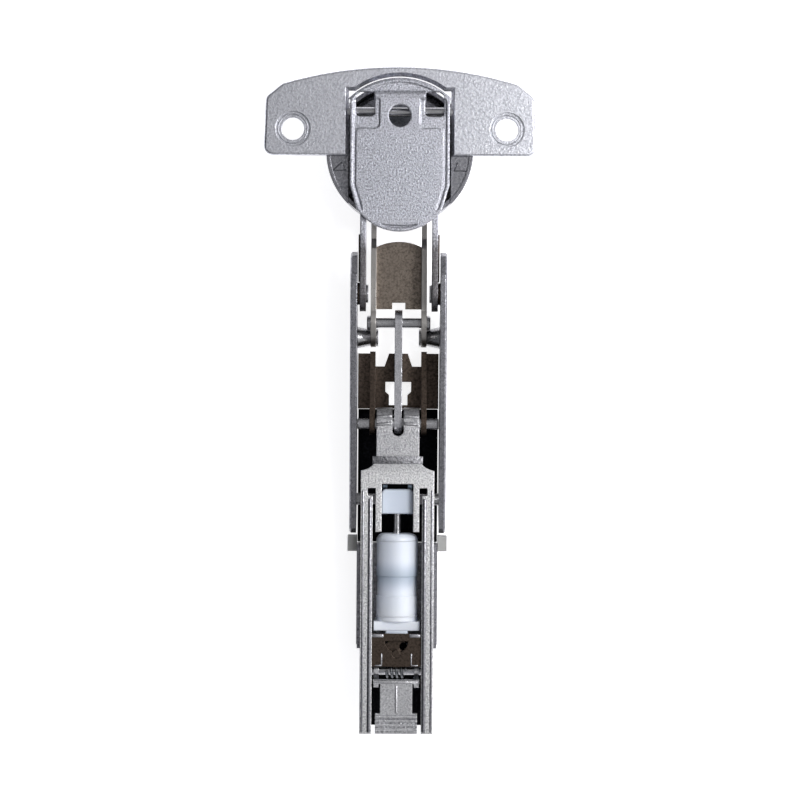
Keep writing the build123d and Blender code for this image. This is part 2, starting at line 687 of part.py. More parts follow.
# Centre plate: stands on the web of the control lever and holds the lever pin in a slot
with BuildPart() as centre_plate:
    centre_outline = [
        shifted(LEVER_PIVOT, 0, CENTRE_EYE_R),
        shifted(LEVER_PIVOT, 0, -CENTRE_EYE_R),
        (LEVER_WEB_FRONT, LEVER_WEB_TOP),
        (LEVER_HOLE_FRONT, LEVER_WEB_TOP),
        shifted(NOSE_PIVOT, 0, -CENTRE_TAIL_R),
        shifted(NOSE_PIVOT, 0, CENTRE_TAIL_R),
    ]
    extrude(plate_profile(-CENTRE_HALF, centre_outline, CENTRE_ROUNDING), amount=CENTRE_PLATE_T)
    extrude(disc(LEVER_PIVOT, CENTRE_EYE_R, -CENTRE_HALF), amount=CENTRE_PLATE_T)
    extrude(disc(NOSE_PIVOT, CENTRE_TAIL_R, -CENTRE_HALF), amount=CENTRE_PLATE_T)
    with BuildSketch(Plane.YZ.offset(-CENTRE_HALF)) as travel_slot:
        with Locations(LEVER_PIVOT):
            SlotCenterToCenter(2 * CENTRE_SLOT_TRAVEL, 2 * CENTRE_SLOT_R)
        with Locations(NOSE_PIVOT):
            Circle(NOSE_PIN_R + FIT_GAP)
    extrude(amount=CENTRE_PLATE_T, mode=Mode.SUBTRACT)
centre_plate.part.label = "centre_plate"
export_step(centre_plate.part, "parts/centre_plate.step")

# Carrier: two separate side plates, joined by the carrier pin and the rivets
carrier_outline = [
    (-24.2, -1.8),
    (-25.4, 1.6),
    (-30.0, 3.8),
    (-40.0, 4.2),
    (-62.0, 2.6),
    (-80.0, -0.8),
    (-92.0, -2.6),
    (-93.0, -4.7),
    (-91.2, -8.2),
    (-88.5, -11.0),
    (-84.0, -12.2),
    (-60.0, -12.2),
    (-42.0, -12.0),
    (-36.0, -8.6),
    (-26.0, -5.4),
]
carrier_holes = [(CARRIER_PIVOT, CARRIER_PIN_R), (CROSS_PIVOT, RIVET_R), (LINK_PIVOT, RIVET_R)]
with BuildPart() as right_carrier_plate:
    extrude(plate_profile(CARRIER_X, carrier_outline, CARRIER_ROUNDING), amount=CARRIER_T)
    chamfer(right_carrier_plate.faces().sort_by(Axis.X)[-1].edges(), length=CARRIER_EDGE_R)
    for pivot, radius in carrier_holes:
        extrude(disc(pivot, radius, CARRIER_X), amount=CARRIER_T, mode=Mode.SUBTRACT)
right_carrier_plate.part.label = "right_carrier_plate"
export_step(right_carrier_plate.part, "parts/right_carrier_plate.step")

with BuildPart() as left_carrier_plate:
    extrude(plate_profile(-CARRIER_X, carrier_outline, CARRIER_ROUNDING), amount=-CARRIER_T)
    chamfer(left_carrier_plate.faces().sort_by(Axis.X)[0].edges(), length=CARRIER_EDGE_R)
    for pivot, radius in carrier_holes:
        extrude(disc(pivot, radius, -CARRIER_X), amount=-CARRIER_T, mode=Mode.SUBTRACT)
left_carrier_plate.part.label = "left_carrier_plate"
export_step(left_carrier_plate.part, "parts/left_carrier_plate.step")

# Carrier pin: right across the arm, fixed in both side plates
with BuildPart() as carrier_pin:
    extrude(disc(CARRIER_PIVOT, CARRIER_PIN_R, -CARRIER_OUTER), amount=2 * CARRIER_OUTER)
    chamfer(carrier_pin.edges().filter_by(GeomType.CIRCLE), length=PIN_CHAMFER)
carrier_pin.part.label = "carrier_pin"
export_step(carrier_pin.part, "parts/carrier_pin.step")

# Crossing rivets: one on each side, through the side plate into the inner link
with BuildPart() as crossing_rivets:
    shank = extrude(
        disc(CROSS_PIVOT, RIVET_R, INNER_PLATE_X - FIT_GAP),
        amount=CARRIER_OUTER - INNER_PLATE_X + FIT_GAP,
    )
    mirror(shank, about=Plane.YZ)
    rivet_head = extrude(disc(CROSS_PIVOT, RIVET_HEAD_R, INNER_PLATE_X - FIT_GAP), amount=-RIVET_HEAD_T)
    mirror(rivet_head, about=Plane.YZ)
crossing_rivets.part.label = "crossing_rivets"
export_step(crossing_rivets.part, "parts/crossing_rivets.step")

# Crossing bushes: tapered spacers between the inner link and the side plates
with BuildPart() as crossing_bushes:
    with BuildSketch(Plane.YZ.offset(CARRIER_X)) as bush_root:
        with Locations(CROSS_PIVOT):
            Circle(BUSH_R)
    with BuildSketch(Plane.YZ.offset(INNER_OUTER_X + FIT_GAP)) as bush_tip:
        with Locations(CROSS_PIVOT):
            Circle(BUSH_TIP_R)
    bush = loft(sections=[bush_tip.sketch, bush_root.sketch])
    mirror(bush, about=Plane.YZ)
    extrude(disc(CROSS_PIVOT, RIVET_R, -CARRIER_X), amount=2 * CARRIER_X, mode=Mode.SUBTRACT)
crossing_bushes.part.label = "crossing_bushes"
export_step(crossing_bushes.part, "parts/crossing_bushes.step")

# Link rivets: one on each side, through the side plate into the neck of the cover link
with BuildPart() as link_rivets:
    link_shank = extrude(
        disc(LINK_PIVOT, RIVET_R, NECK_INNER - FIT_GAP),
        amount=CARRIER_OUTER - NECK_INNER + FIT_GAP,
    )
    mirror(link_shank, about=Plane.YZ)
    link_head = extrude(disc(LINK_PIVOT, RIVET_HEAD_R, NECK_INNER - FIT_GAP), amount=-RIVET_HEAD_T)
    mirror(link_head, about=Plane.YZ)
link_rivets.part.label = "link_rivets"
export_step(link_rivets.part, "parts/link_rivets.step")

# Link washers: between the neck of the cover link and the side plates
with BuildPart() as link_washers:
    washer = extrude(
        disc(LINK_PIVOT, WASHER_R, NECK_OUTER + FIT_GAP),
        amount=CARRIER_X - NECK_OUTER - FIT_GAP,
    )
    mirror(washer, about=Plane.YZ)
    extrude(disc(LINK_PIVOT, RIVET_R, -CARRIER_X), amount=2 * CARRIER_X, mode=Mode.SUBTRACT)
link_washers.part.label = "link_washers"
export_step(link_washers.part, "parts/link_washers.step")

# Nose pin: fixed in the nose of the arm
with BuildPart() as nose_pin:
    extrude(disc(NOSE_PIVOT, NOSE_PIN_R, -LEVER_WEB_HALF), amount=2 * LEVER_WEB_HALF)
    chamfer(nose_pin.edges().filter_by(GeomType.CIRCLE), length=PIN_CHAMFER)
nose_pin.part.label = "nose_pin"
export_step(nose_pin.part, "parts/nose_pin.step")

# Hinge arm: a folded channel with a curled nose, a damper bay and two long rails
with BuildPart() as hinge_arm:
    with BuildSketch(Plane.XY.offset(ARM_TOP - ARM_T)) as arm_plate:
        with BuildLine():
            Spline(
                (NOSE_HALF, ARM_NECK),
                (ARM_HALF, ARM_SHOULDER),
                tangents=[(0, -1), (1, -0.2)],
            )
            Polyline(
                (ARM_HALF, ARM_SHOULDER),
                (ARM_HALF, ARM_END),
                (-ARM_HALF, ARM_END),
                (-ARM_HALF, ARM_SHOULDER),
            )
            Spline(
                (-ARM_HALF, ARM_SHOULDER),
                (-NOSE_HALF, ARM_NECK),
                tangents=[(1, 0.2), (0, 1)],
            )
            Line((-NOSE_HALF, ARM_NECK), (NOSE_HALF, ARM_NECK))
        make_face()
        with Locations((0, ARM_WINDOW_FRONT)):
            Rectangle(
                2 * ARM_WINDOW_HALF,
                ARM_WINDOW_FRONT - ARM_BAY_FRONT,
                align=(Align.CENTER, Align.MAX),
                mode=Mode.SUBTRACT,
            )
        with Locations((0, ARM_BAY_FRONT)):
            Rectangle(
                2 * ARM_BAY_HALF,
                ARM_BAY_FRONT - ARM_END,
                align=(Align.CENTER, Align.MAX),
                mode=Mode.SUBTRACT,
            )
        for side in (-1, 1):
            with Locations((side * (ARM_SLOT_INNER + ARM_BAY_HALF) / 2, ARM_SLOT_FRONT)):
                Rectangle(
                    ARM_BAY_HALF - ARM_SLOT_INNER,
                    ARM_SLOT_FRONT - ARM_BAY_FRONT,
                    align=(Align.CENTER, Align.MAX),
                    mode=Mode.SUBTRACT,
                )
            with Locations((side * (ARM_SLOT_INNER + HOOK_OUTER) / 2, HOOK_FRONT)):
                Rectangle(
                    HOOK_OUTER - ARM_SLOT_INNER,
                    HOOK_FRONT - ARM_SLOT_FRONT,
                    align=(Align.CENTER, Align.MAX),
                    mode=Mode.SUBTRACT,
                )
            with Locations((side * ARM_HALF, ARM_NOTCH_Y)):
                Rectangle(2 * ARM_NOTCH_DEPTH, ARM_NOTCH_LENGTH, mode=Mode.SUBTRACT)
    extrude(amount=ARM_T)
    wall_outline = [
        (ARM_SHOULDER, ARM_TOP - ARM_T / 2),
        (ARM_SHOULDER - ARM_T, ARM_BOTTOM),
        (ARM_END, ARM_BOTTOM),
        (ARM_END, ARM_TOP - ARM_T / 2),
    ]
    wall = extrude(plate_profile(ARM_HALF - ARM_T, wall_outline, ARM_ROUNDING), amount=ARM_T)
    mirror(wall, about=Plane.YZ)
    nose_outline = [
        shifted(NOSE_PIVOT, 0, NOSE_R),
        shifted(NOSE_PIVOT, 0, 0),
        (ARM_NECK + NOSE_R / 2, NOSE_PIVOT[1]),
        (ARM_NECK - 1, ARM_TOP - ARM_T),
        (ARM_NECK - 1, ARM_TOP),
        (ARM_NECK, ARM_TOP),
    ]
    extrude(plate_profile(-NOSE_HALF, nose_outline, NOSE_ROUNDING), amount=2 * NOSE_HALF)
    extrude(disc(NOSE_PIVOT, NOSE_R, -NOSE_HALF), amount=2 * NOSE_HALF)
    with BuildSketch(Plane.XY.offset(NOSE_PIVOT[1] - NOSE_R)) as nose_slot:
        with Locations((0, NOSE_SLOT_END + NOSE_SLOT_HALF)):
            Circle(NOSE_SLOT_HALF)
            Rectangle(2 * NOSE_SLOT_HALF, 4 * NOSE_R, align=(Align.CENTER, Align.MIN))
    extrude(amount=3 * NOSE_R, mode=Mode.SUBTRACT)
    extrude(disc(NOSE_PIVOT, NOSE_PIN_R, -NOSE_HALF), amount=2 * NOSE_HALF, mode=Mode.SUBTRACT)
    extrude(
        disc(CARRIER_PIVOT, CARRIER_PIN_R + FIT_GAP, -ARM_HALF),
        amount=2 * ARM_HALF,
        mode=Mode.SUBTRACT,
    )
    extrude(disc(LATCH_PIVOT, LATCH_PIN_R, -ARM_HALF), amount=2 * ARM_HALF, mode=Mode.SUBTRACT)
hinge_arm.part.label = "hinge_arm"
export_step(hinge_arm.part, "parts/hinge_arm.step")

# Arm base: a channel round the lower part of the arm, with two feet at the back
with BuildPart() as arm_base:
    with BuildSketch(Plane.XZ.offset(-BASE_FRONT)) as channel:
        with Locations((0, -CUP_DEPTH)):
            Rectangle(2 * BASE_HALF, BASE_TOP + CUP_DEPTH, align=(Align.CENTER, Align.MIN))
        with Locations((0, BASE_FLOOR)):
            Rectangle(
                2 * ARM_HALF,
                BASE_TOP - BASE_FLOOR,
                align=(Align.CENTER, Align.MIN),
                mode=Mode.SUBTRACT,
            )
    extrude(amount=BASE_FRONT - BASE_BACK)
    for side in (-1, 1):
        with BuildSketch(Plane.XY.offset(-CUP_DEPTH)) as foot:
            with Locations((side * (ARM_HALF + BASE_T / 2), BASE_BACK)):
                Rectangle(BASE_T, FOOT_LENGTH, align=(Align.CENTER, Align.MAX))
        extrude(amount=FOOT_HEIGHT)
arm_base.part.label = "arm_base"
export_step(arm_base.part, "parts/arm_base.step")

# Stop pads: on the sides of the base, behind the ends of the carrier
with BuildPart() as stop_pads:
    with BuildSketch(Plane.XY.offset(PAD_TOP - PAD_HEIGHT)) as pad:
        with Locations((BASE_HALF, BASE_FRONT - PAD_OVERHANG)):
            Rectangle(PAD_REACH, PAD_LENGTH, align=(Align.MIN, Align.MIN))
    pad_solid = extrude(amount=PAD_HEIGHT)
    mirror(pad_solid, about=Plane.YZ)
stop_pads.part.label = "stop_pads"
export_step(stop_pads.part, "parts/stop_pads.step")

# Damper cylinder: a moulded tube with a domed front and a square foot behind
with BuildPart() as damper_cylinder:
    with BuildSketch(Plane.XZ.offset(-DAMPER_FRONT)) as tube:
        with Locations((0, DAMPER_Z)):
            Circle(DAMPER_R)
    extrude(amount=DAMPER_FRONT - DAMPER_BACK)
    fillet(damper_cylinder.faces().sort_by(Axis.Y)[-1].edges(), radius=DAMPER_DOME_R)
    with BuildSketch(Plane.XZ.offset(-BAND_Y)) as band:
        with Locations((0, DAMPER_Z)):
            Circle(DAMPER_R)
            Circle(DAMPER_R - BAND_DEPTH, mode=Mode.SUBTRACT)
    extrude(amount=BAND_WIDTH, mode=Mode.SUBTRACT)
    with BuildSketch(Plane.XZ.offset(-DAMPER_BACK)) as foot_block:
        with Locations((0, BASE_FLOOR)):
            Rectangle(
                2 * SHOULDER_HALF,
                DAMPER_Z + DAMPER_R - BASE_FLOOR - ARM_T,
                align=(Align.CENTER, Align.MIN),
            )
    extrude(amount=SHOULDER_LENGTH)
    with BuildSketch(Plane.XZ.offset(-DAMPER_FRONT)) as rod_bore:
        with Locations((0, DAMPER_Z)):
            Circle(DAMPER_BORE_R)
    extrude(amount=DAMPER_BORE_LENGTH, mode=Mode.SUBTRACT)
damper_cylinder.part.label = "damper_cylinder"
export_step(damper_cylinder.part, "parts/damper_cylinder.step")

# Damper rod: fixed in the head and sliding in the cylinder
with BuildPart() as damper_rod:
    with BuildSketch(Plane.XZ.offset(-HEAD_BACK - ROD_SEAT)) as rod:
        with Locations((0, DAMPER_Z)):
            Circle(ROD_R)
    extrude(amount=ROD_LENGTH)
    chamfer(damper_rod.edges().filter_by(GeomType.CIRCLE), length=PIN_CHAMFER)
damper_rod.part.label = "damper_rod"
export_step(damper_rod.part, "parts/damper_rod.step")

# Damper head: the pushed block, with a heel that hangs between the discs of the fork
with BuildPart() as damper_head:
    with BuildSketch(Plane.XY.offset(HEAD_BOTTOM)) as head_top:
        with Locations((0, HEAD_BACK)):
            Rectangle(2 * HEAD_HALF, HEAD_FRONT - HEAD_BACK, align=(Align.CENTER, Align.MIN))
        fillet(head_top.vertices().group_by(Axis.Y)[-1], radius=HEAD_CORNER_R)
    extrude(amount=HEAD_TOP - HEAD_BOTTOM)
    fillet(damper_head.faces().sort_by(Axis.Z)[-1].edges(), radius=HEAD_EDGE_R)
    with BuildSketch(Plane.XY.offset(HEEL_BOTTOM)) as heel:
        with Locations((0, HEEL_BACK)):
            Rectangle(2 * HEEL_HALF, HEEL_FRONT - HEEL_BACK, align=(Align.CENTER, Align.MIN))
    extrude(amount=HEAD_BOTTOM - HEEL_BOTTOM)
    with BuildSketch(Plane.XZ.offset(-HEAD_BACK - ROD_SEAT)) as rod_seat:
        with Locations((0, DAMPER_Z)):
            Circle(ROD_R)
    extrude(amount=ROD_SEAT, mode=Mode.SUBTRACT)
damper_head.part.label = "damper_head"
export_step(damper_head.part, "parts/damper_head.step")

# Damper fork: two discs and a hub on the carrier pin, with a bar that pushes the heel
with BuildPart() as damper_fork:
    fork_disc = extrude(disc(CARRIER_PIVOT, FORK_R, FORK_INNER), amount=FORK_T)
    mirror(fork_disc, about=Plane.YZ)
    extrude(disc(CARRIER_PIVOT, FORK_HUB_R, -FORK_INNER), amount=2 * FORK_INNER)
    extrude(
        disc(shifted(CARRIER_PIVOT, *FORK_LUG), FORK_LUG_R, -FORK_INNER - FORK_T),
        amount=2 * (FORK_INNER + FORK_T),
    )
    extrude(
        disc(CARRIER_PIVOT, CARRIER_PIN_R, -FORK_INNER - FORK_T),
        amount=2 * (FORK_INNER + FORK_T),
        mode=Mode.SUBTRACT,
    )
damper_fork.part.label = "damper_fork"
export_step(damper_fork.part, "parts/damper_fork.step")

# Bridge plate: between the rails, with a half-moon slot over the depth cam
with BuildPart() as bridge_plate:
    with BuildSketch(Plane.XY.offset(BRIDGE_TOP - BRIDGE_T)) as bridge:
        with Locations((0, BRIDGE_FRONT)):
            Rectangle(2 * ARM_BAY_HALF, BRIDGE_FRONT - BRIDGE_BACK, align=(Align.CENTER, Align.MAX))
        with BuildLine():
            CenterArc((0, MOON_Y), MOON_R, 180, 180)
            Line((-MOON_R, MOON_Y), (MOON_R, MOON_Y))
        make_face(mode=Mode.SUBTRACT)
        with Locations((0, CAM_Y)):
            Circle(STUD_R + FIT_GAP, mode=Mode.SUBTRACT)
    extrude(amount=BRIDGE_T)
bridge_plate.part.label = "bridge_plate"
export_step(bridge_plate.part, "parts/bridge_plate.step")

# Depth cam: a disc under the bridge plate that turns on its stud
with BuildPart() as depth_cam:
    with BuildSketch(Plane.XY.offset(BRIDGE_TOP - BRIDGE_T - CAM_GAP - CAM_T)) as cam:
        with Locations((0, CAM_Y)):
            Circle(CAM_R)
        with Locations((CAM_R / 2, CAM_Y + CAM_R / 2)):
            Circle(STUD_R, mode=Mode.SUBTRACT)
    extrude(amount=CAM_T)
    with BuildSketch(Plane.XY.offset(BRIDGE_TOP - BRIDGE_T - CAM_GAP)) as stud:
        with Locations((0, CAM_Y)):
            Circle(STUD_R)
    extrude(amount=BRIDGE_T + CAM_GAP)
depth_cam.part.label = "depth_cam"
export_step(depth_cam.part, "parts/depth_cam.step")

# Latch pin: right across the back of the arm
with BuildPart() as latch_pin:
    extrude(disc(LATCH_PIVOT, LATCH_PIN_R, -ARM_HALF), amount=2 * ARM_HALF)
    chamfer(latch_pin.edges().filter_by(GeomType.CIRCLE), length=PIN_CHAMFER)
latch_pin.part.label = "latch_pin"
export_step(latch_pin.part, "parts/latch_pin.step")

# Latch lever: a folded lever with two hooked cheeks and a ridged thumb plate
with BuildPart() as latch_lever:
    with BuildSketch(Plane.XY.offset(LATCH_TOP - LATCH_T)) as lever_top:
        with Locations((0, LATCH_FRONT)):
            Rectangle(2 * LATCH_BAR_HALF, LATCH_BAR_LENGTH, align=(Align.CENTER, Align.MAX))
            Rectangle(2 * LATCH_BODY_HALF, LATCH_FRONT - LATCH_BODY_BACK, align=(Align.CENTER, Align.MAX))
        with Locations((0, LATCH_BACK)):
            Rectangle(2 * LATCH_THUMB_HALF, LATCH_BODY_BACK - LATCH_BACK, align=(Align.CENTER, Align.MIN))
    extrude(amount=LATCH_T)
    for ridge in range(THUMB_RIDGES):
        extrude(
            disc((LATCH_BODY_BACK - THUMB_RIDGE_START - ridge, LATCH_TOP), LATCH_RIDGE_R, -LATCH_THUMB_HALF),
            amount=2 * LATCH_THUMB_HALF,
        )
    cheek_outline = [
        (LATCH_FRONT, LATCH_TOP - LATCH_T / 2),
        (LATCH_FRONT - LATCH_BAR_LENGTH - 1.0, LATCH_TOP - LATCH_T / 2),
        shifted(LATCH_PIVOT, -LATCH_EYE_R, -LATCH_EYE_R / 2),
        (LATCH_PIVOT[0] - 1.6, LATCH_HOOK_Z),
        (LATCH_PIVOT[0] + 1.8, LATCH_HOOK_Z),
        (LATCH_PIVOT[0] + 1.8, LATCH_HOOK_Z + 1.6),
        (LATCH_PIVOT[0] + 0.6, LATCH_HOOK_Z + 2.4),
        shifted(LATCH_PIVOT, LATCH_EYE_R * 0.7, -LATCH_EYE_R * 0.6),
    ]
    cheek = extrude(plate_profile(LATCH_CHEEK_X, cheek_outline, LATCH_ROUNDING), amount=LATCH_CHEEK_T)
    mirror(cheek, about=Plane.YZ)
    latch_eye = extrude(disc(LATCH_PIVOT, LATCH_EYE_R, LATCH_CHEEK_X), amount=LATCH_CHEEK_T)
    mirror(latch_eye, about=Plane.YZ)
    extrude(
        disc(LATCH_PIVOT, LATCH_PIN_R + FIT_GAP, -LATCH_CHEEK_OUTER),
        amount=2 * LATCH_CHEEK_OUTER,
        mode=Mode.SUBTRACT,
    )
latch_lever.part.label = "latch_lever"
export_step(latch_lever.part, "parts/latch_lever.step")

# Latch spring: a coil round the latch pin
with BuildPart() as latch_spring:
    with BuildLine() as coil_path:
        Helix(
            pitch=2 * COIL_HALF / COIL_TURNS,
            height=2 * COIL_HALF,
            radius=COIL_R,
            center=(-COIL_HALF, LATCH_PIVOT[0], LATCH_PIVOT[1]),
            direction=(1, 0, 0),
        )
    with BuildSketch(Plane(coil_path.line @ 0, z_dir=coil_path.line % 0)) as wire:
        Circle(COIL_WIRE_R)
    sweep(is_frenet=True)
latch_spring.part.label = "latch_spring"
export_step(latch_spring.part, "parts/latch_spring.step")
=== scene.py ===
"""Concealed cabinet hinge seen from straight above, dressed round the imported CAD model.

Lengths are in millimetres where they are named, and turned to metres by MM.
X runs across the hinge, Y along the arm towards the cup, and Z out of the door face.
"""
import logging
import math
from dataclasses import dataclass
from enum import Enum
from typing import Any

import bpy
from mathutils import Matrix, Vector


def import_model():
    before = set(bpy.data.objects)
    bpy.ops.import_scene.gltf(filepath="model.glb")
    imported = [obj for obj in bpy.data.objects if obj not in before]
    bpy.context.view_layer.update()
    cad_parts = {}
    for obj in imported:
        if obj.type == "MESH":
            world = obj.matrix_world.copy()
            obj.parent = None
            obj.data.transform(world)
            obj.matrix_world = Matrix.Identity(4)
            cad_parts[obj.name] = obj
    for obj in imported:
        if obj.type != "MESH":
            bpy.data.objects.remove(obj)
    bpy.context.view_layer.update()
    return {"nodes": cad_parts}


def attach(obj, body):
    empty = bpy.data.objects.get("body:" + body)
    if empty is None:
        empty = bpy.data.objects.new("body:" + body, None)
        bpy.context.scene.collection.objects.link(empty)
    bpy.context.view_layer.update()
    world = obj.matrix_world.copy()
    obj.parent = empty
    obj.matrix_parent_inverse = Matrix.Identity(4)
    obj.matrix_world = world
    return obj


MM = 0.001
LOG = logging.getLogger("hinge")

# The sRGB curve has a straight foot below its knee and a power above it
SRGB_KNEE = 0.04045
SRGB_FOOT = 12.92
SRGB_OFFSET = 0.055
SRGB_POWER = 2.4

# Socket numbers of a Mix node that mixes colours
MIX_SHARE = 0
MIX_FIRST = 6
MIX_SECOND = 7
MIX_RESULT = 2

# Rays that the shaded rounding of an edge takes
ROUNDING_SAMPLES = 6

# Steps and smoothing of the modelled shapes
ROD_SIDES = 28
ROD_STEPS = 4
BAR_STEPS = 3
FINE_STEPS = 2
SMOOTH_ANGLE = math.radians(35)
CUT_SMOOTH_ANGLE = math.radians(50)

Point = tuple[float, float, float]


class Body(str, Enum):
    """The CAD bodies that the new pieces ride on."""

    ARM = "arm_body"
    COVER = "cover_body"
    CUP = "cup_body"
    LATCH = "latch_body"


class Slot(str, Enum):
    """Names of the material slots that the build passes with each new piece."""

    NICKEL = "nickel_plate"
    ZINC = "zinc_plate"
    WHITE = "white_plastic"


def linear_colour(code: str) -> tuple[float, float, float, float]:
    """Turn an sRGB hex value to a linear colour.

    Args:
        code: six hex digits, such as "c8c7c4".

    Returns:
        Red, green, blue and an alpha of one.
    """
    linear = []
    for start in (0, 2, 4):
        part = int(code[start:start + 2], 16) / 255
        if part <= SRGB_KNEE:
            linear.append(part / SRGB_FOOT)
        else:
            linear.append(((part + SRGB_OFFSET) / (1 + SRGB_OFFSET)) ** SRGB_POWER)
    return (linear[0], linear[1], linear[2], 1.0)


def add_node(
    tree: bpy.types.NodeTree,
    kind: str,
    settings: dict[Any, Any] | None = None,
    links: dict[Any, bpy.types.NodeSocket] | None = None,
) -> bpy.types.Node:
    """Add a node with its settings and links.

    Args:
        tree: the node tree that takes the node.
        kind: the node's type name.
        settings: values for its sockets, by name or number, or for its own properties.
        links: the sockets that feed its inputs, by input name or number.

    Returns:
        The new node.
    """
    node = tree.nodes.new(kind)
    for key, value in (settings or {}).items():
        if isinstance(key, int) or key in node.inputs:
            node.inputs[key].default_value = value
        else:
            setattr(node, key, value)
    for key, source in (links or {}).items():
        tree.links.new(source, node.inputs[key])
    return node


def new_material(name: str) -> tuple[bpy.types.Material, bpy.types.NodeTree]:
    """Make an empty node material.

    Args:
        name: the finish's name.

    Returns:
        The material and its cleared node tree.
    """
    material = bpy.data.materials.new(name)
    material.use_nodes = True
    material.node_tree.nodes.clear()
    return material, material.node_tree


def span(start: float, end: float, low: float, high: float) -> dict[str, Any]:
    """Give the settings of a Map Range node.

    Args:
        start: the value that becomes low.
        end: the value that becomes high.
        low: the result at start.
        high: the result at end.

    Returns:
        The settings by socket name.
    """
    return {"From Min": start, "From Max": end, "To Min": low, "To Max": high}


def remapped(
    tree: bpy.types.NodeTree, value: bpy.types.NodeSocket, settings: dict[str, Any]
) -> bpy.types.NodeSocket:
    """Add a Map Range node.

    Args:
        tree: the material's node tree.
        value: the socket with the value to turn.
        settings: what span gives.

    Returns:
        The socket with the result.
    """
    return add_node(tree, "ShaderNodeMapRange", settings, {"Value": value}).outputs["Result"]


def noise(
    tree: bpy.types.NodeTree,
    place: bpy.types.NodeSocket,
    grain: float,
    settings: dict[str, float],
) -> bpy.types.NodeSocket:
    """Add a noise whose grain is a length.

    Args:
        tree: the material's node tree.
        place: the coordinates that it follows.
        grain: the size of its coarsest lumps, in millimetres.
        settings: the noise's other settings.

    Returns:
        The socket with its grey value.
    """
    scale = {"Scale": 1 / (grain * MM)}
    node = add_node(tree, "ShaderNodeTexNoise", {**scale, **settings}, {"Vector": place})
    return node.outputs["Fac"]


def mixed(
    tree: bpy.types.NodeTree,
    share: bpy.types.NodeSocket,
    first: str | bpy.types.NodeSocket,
    second: str,
) -> bpy.types.NodeSocket:
    """Mix two colours.

    Args:
        tree: the material's node tree.
        share: the socket with the second colour's share.
        first: the first colour, as a hex value or as a socket.
        second: the second colour, as a hex value.

    Returns:
        The socket with the mixed colour.
    """
    settings: dict[Any, Any] = {"data_type": "RGBA", MIX_SECOND: linear_colour(second)}
    links = {MIX_SHARE: share}
    if isinstance(first, str):
        settings[MIX_FIRST] = linear_colour(first)
    else:
        links[MIX_FIRST] = first
    return add_node(tree, "ShaderNodeMix", settings, links).outputs[MIX_RESULT]


def rounded_relief(
    tree: bpy.types.NodeTree,
    height: bpy.types.NodeSocket,
    edge: float,
    depth: float,
    strength: float = 1.0,
) -> bpy.types.NodeSocket:
    """Round the edges in the shading and lay a fine relief over the faces.

    Args:
        tree: the material's node tree.
        height: the socket with the relief's height.
        edge: the radius of the edges, in millimetres.
        depth: the depth of the relief, in millimetres.
        strength: how strongly the relief counts.

    Returns:
        The socket with the normal.
    """
    rounded = add_node(
        tree, "ShaderNodeBevel", {"samples": ROUNDING_SAMPLES, "Radius": edge * MM}
    )
    relief = add_node(
        tree,
        "ShaderNodeBump",
        {"Strength": strength, "Distance": depth * MM},
        {"Height": height, "Normal": rounded.outputs["Normal"]},
    )
    return relief.outputs["Normal"]


def finished(
    tree: bpy.types.NodeTree, settings: dict[str, Any], links: dict[str, bpy.types.NodeSocket]
) -> None:
    """Close a material with its Principled shader.

    Args:
        tree: the material's node tree.
        settings: the shader's constants.
        links: the sockets that feed the shader.
    """
    shader = add_node(tree, "ShaderNodeBsdfPrincipled", settings, links)
    add_node(tree, "ShaderNodeOutputMaterial", links={"Surface": shader.outputs["BSDF"]})


# The fine grain of a metal, its wide stains, and what each of them does
GRAIN_NOISE = {"Detail": 3.0, "Roughness": 0.65}
STAIN_NOISE = {"Detail": 4.0, "Roughness": 0.6, "Distortion": 0.4}
SPECK_SHARE = span(0.35, 0.65, 0.0, 0.75)
STAIN_SHARE = span(0.4, 0.7, 0.0, 0.4)
ROUGH_FROM = 0.3
ROUGH_TO = 0.7

# The clouds and the moulded skin of a plastic
PLASTIC_NOISE = {"Detail": 2.0}


@dataclass(frozen=True)
class Zone:
    """A tint that sets in with the distance from zero, in millimetres along one axis."""

    axis: str
    start: float
    end: float
    tint: str
    strength: float


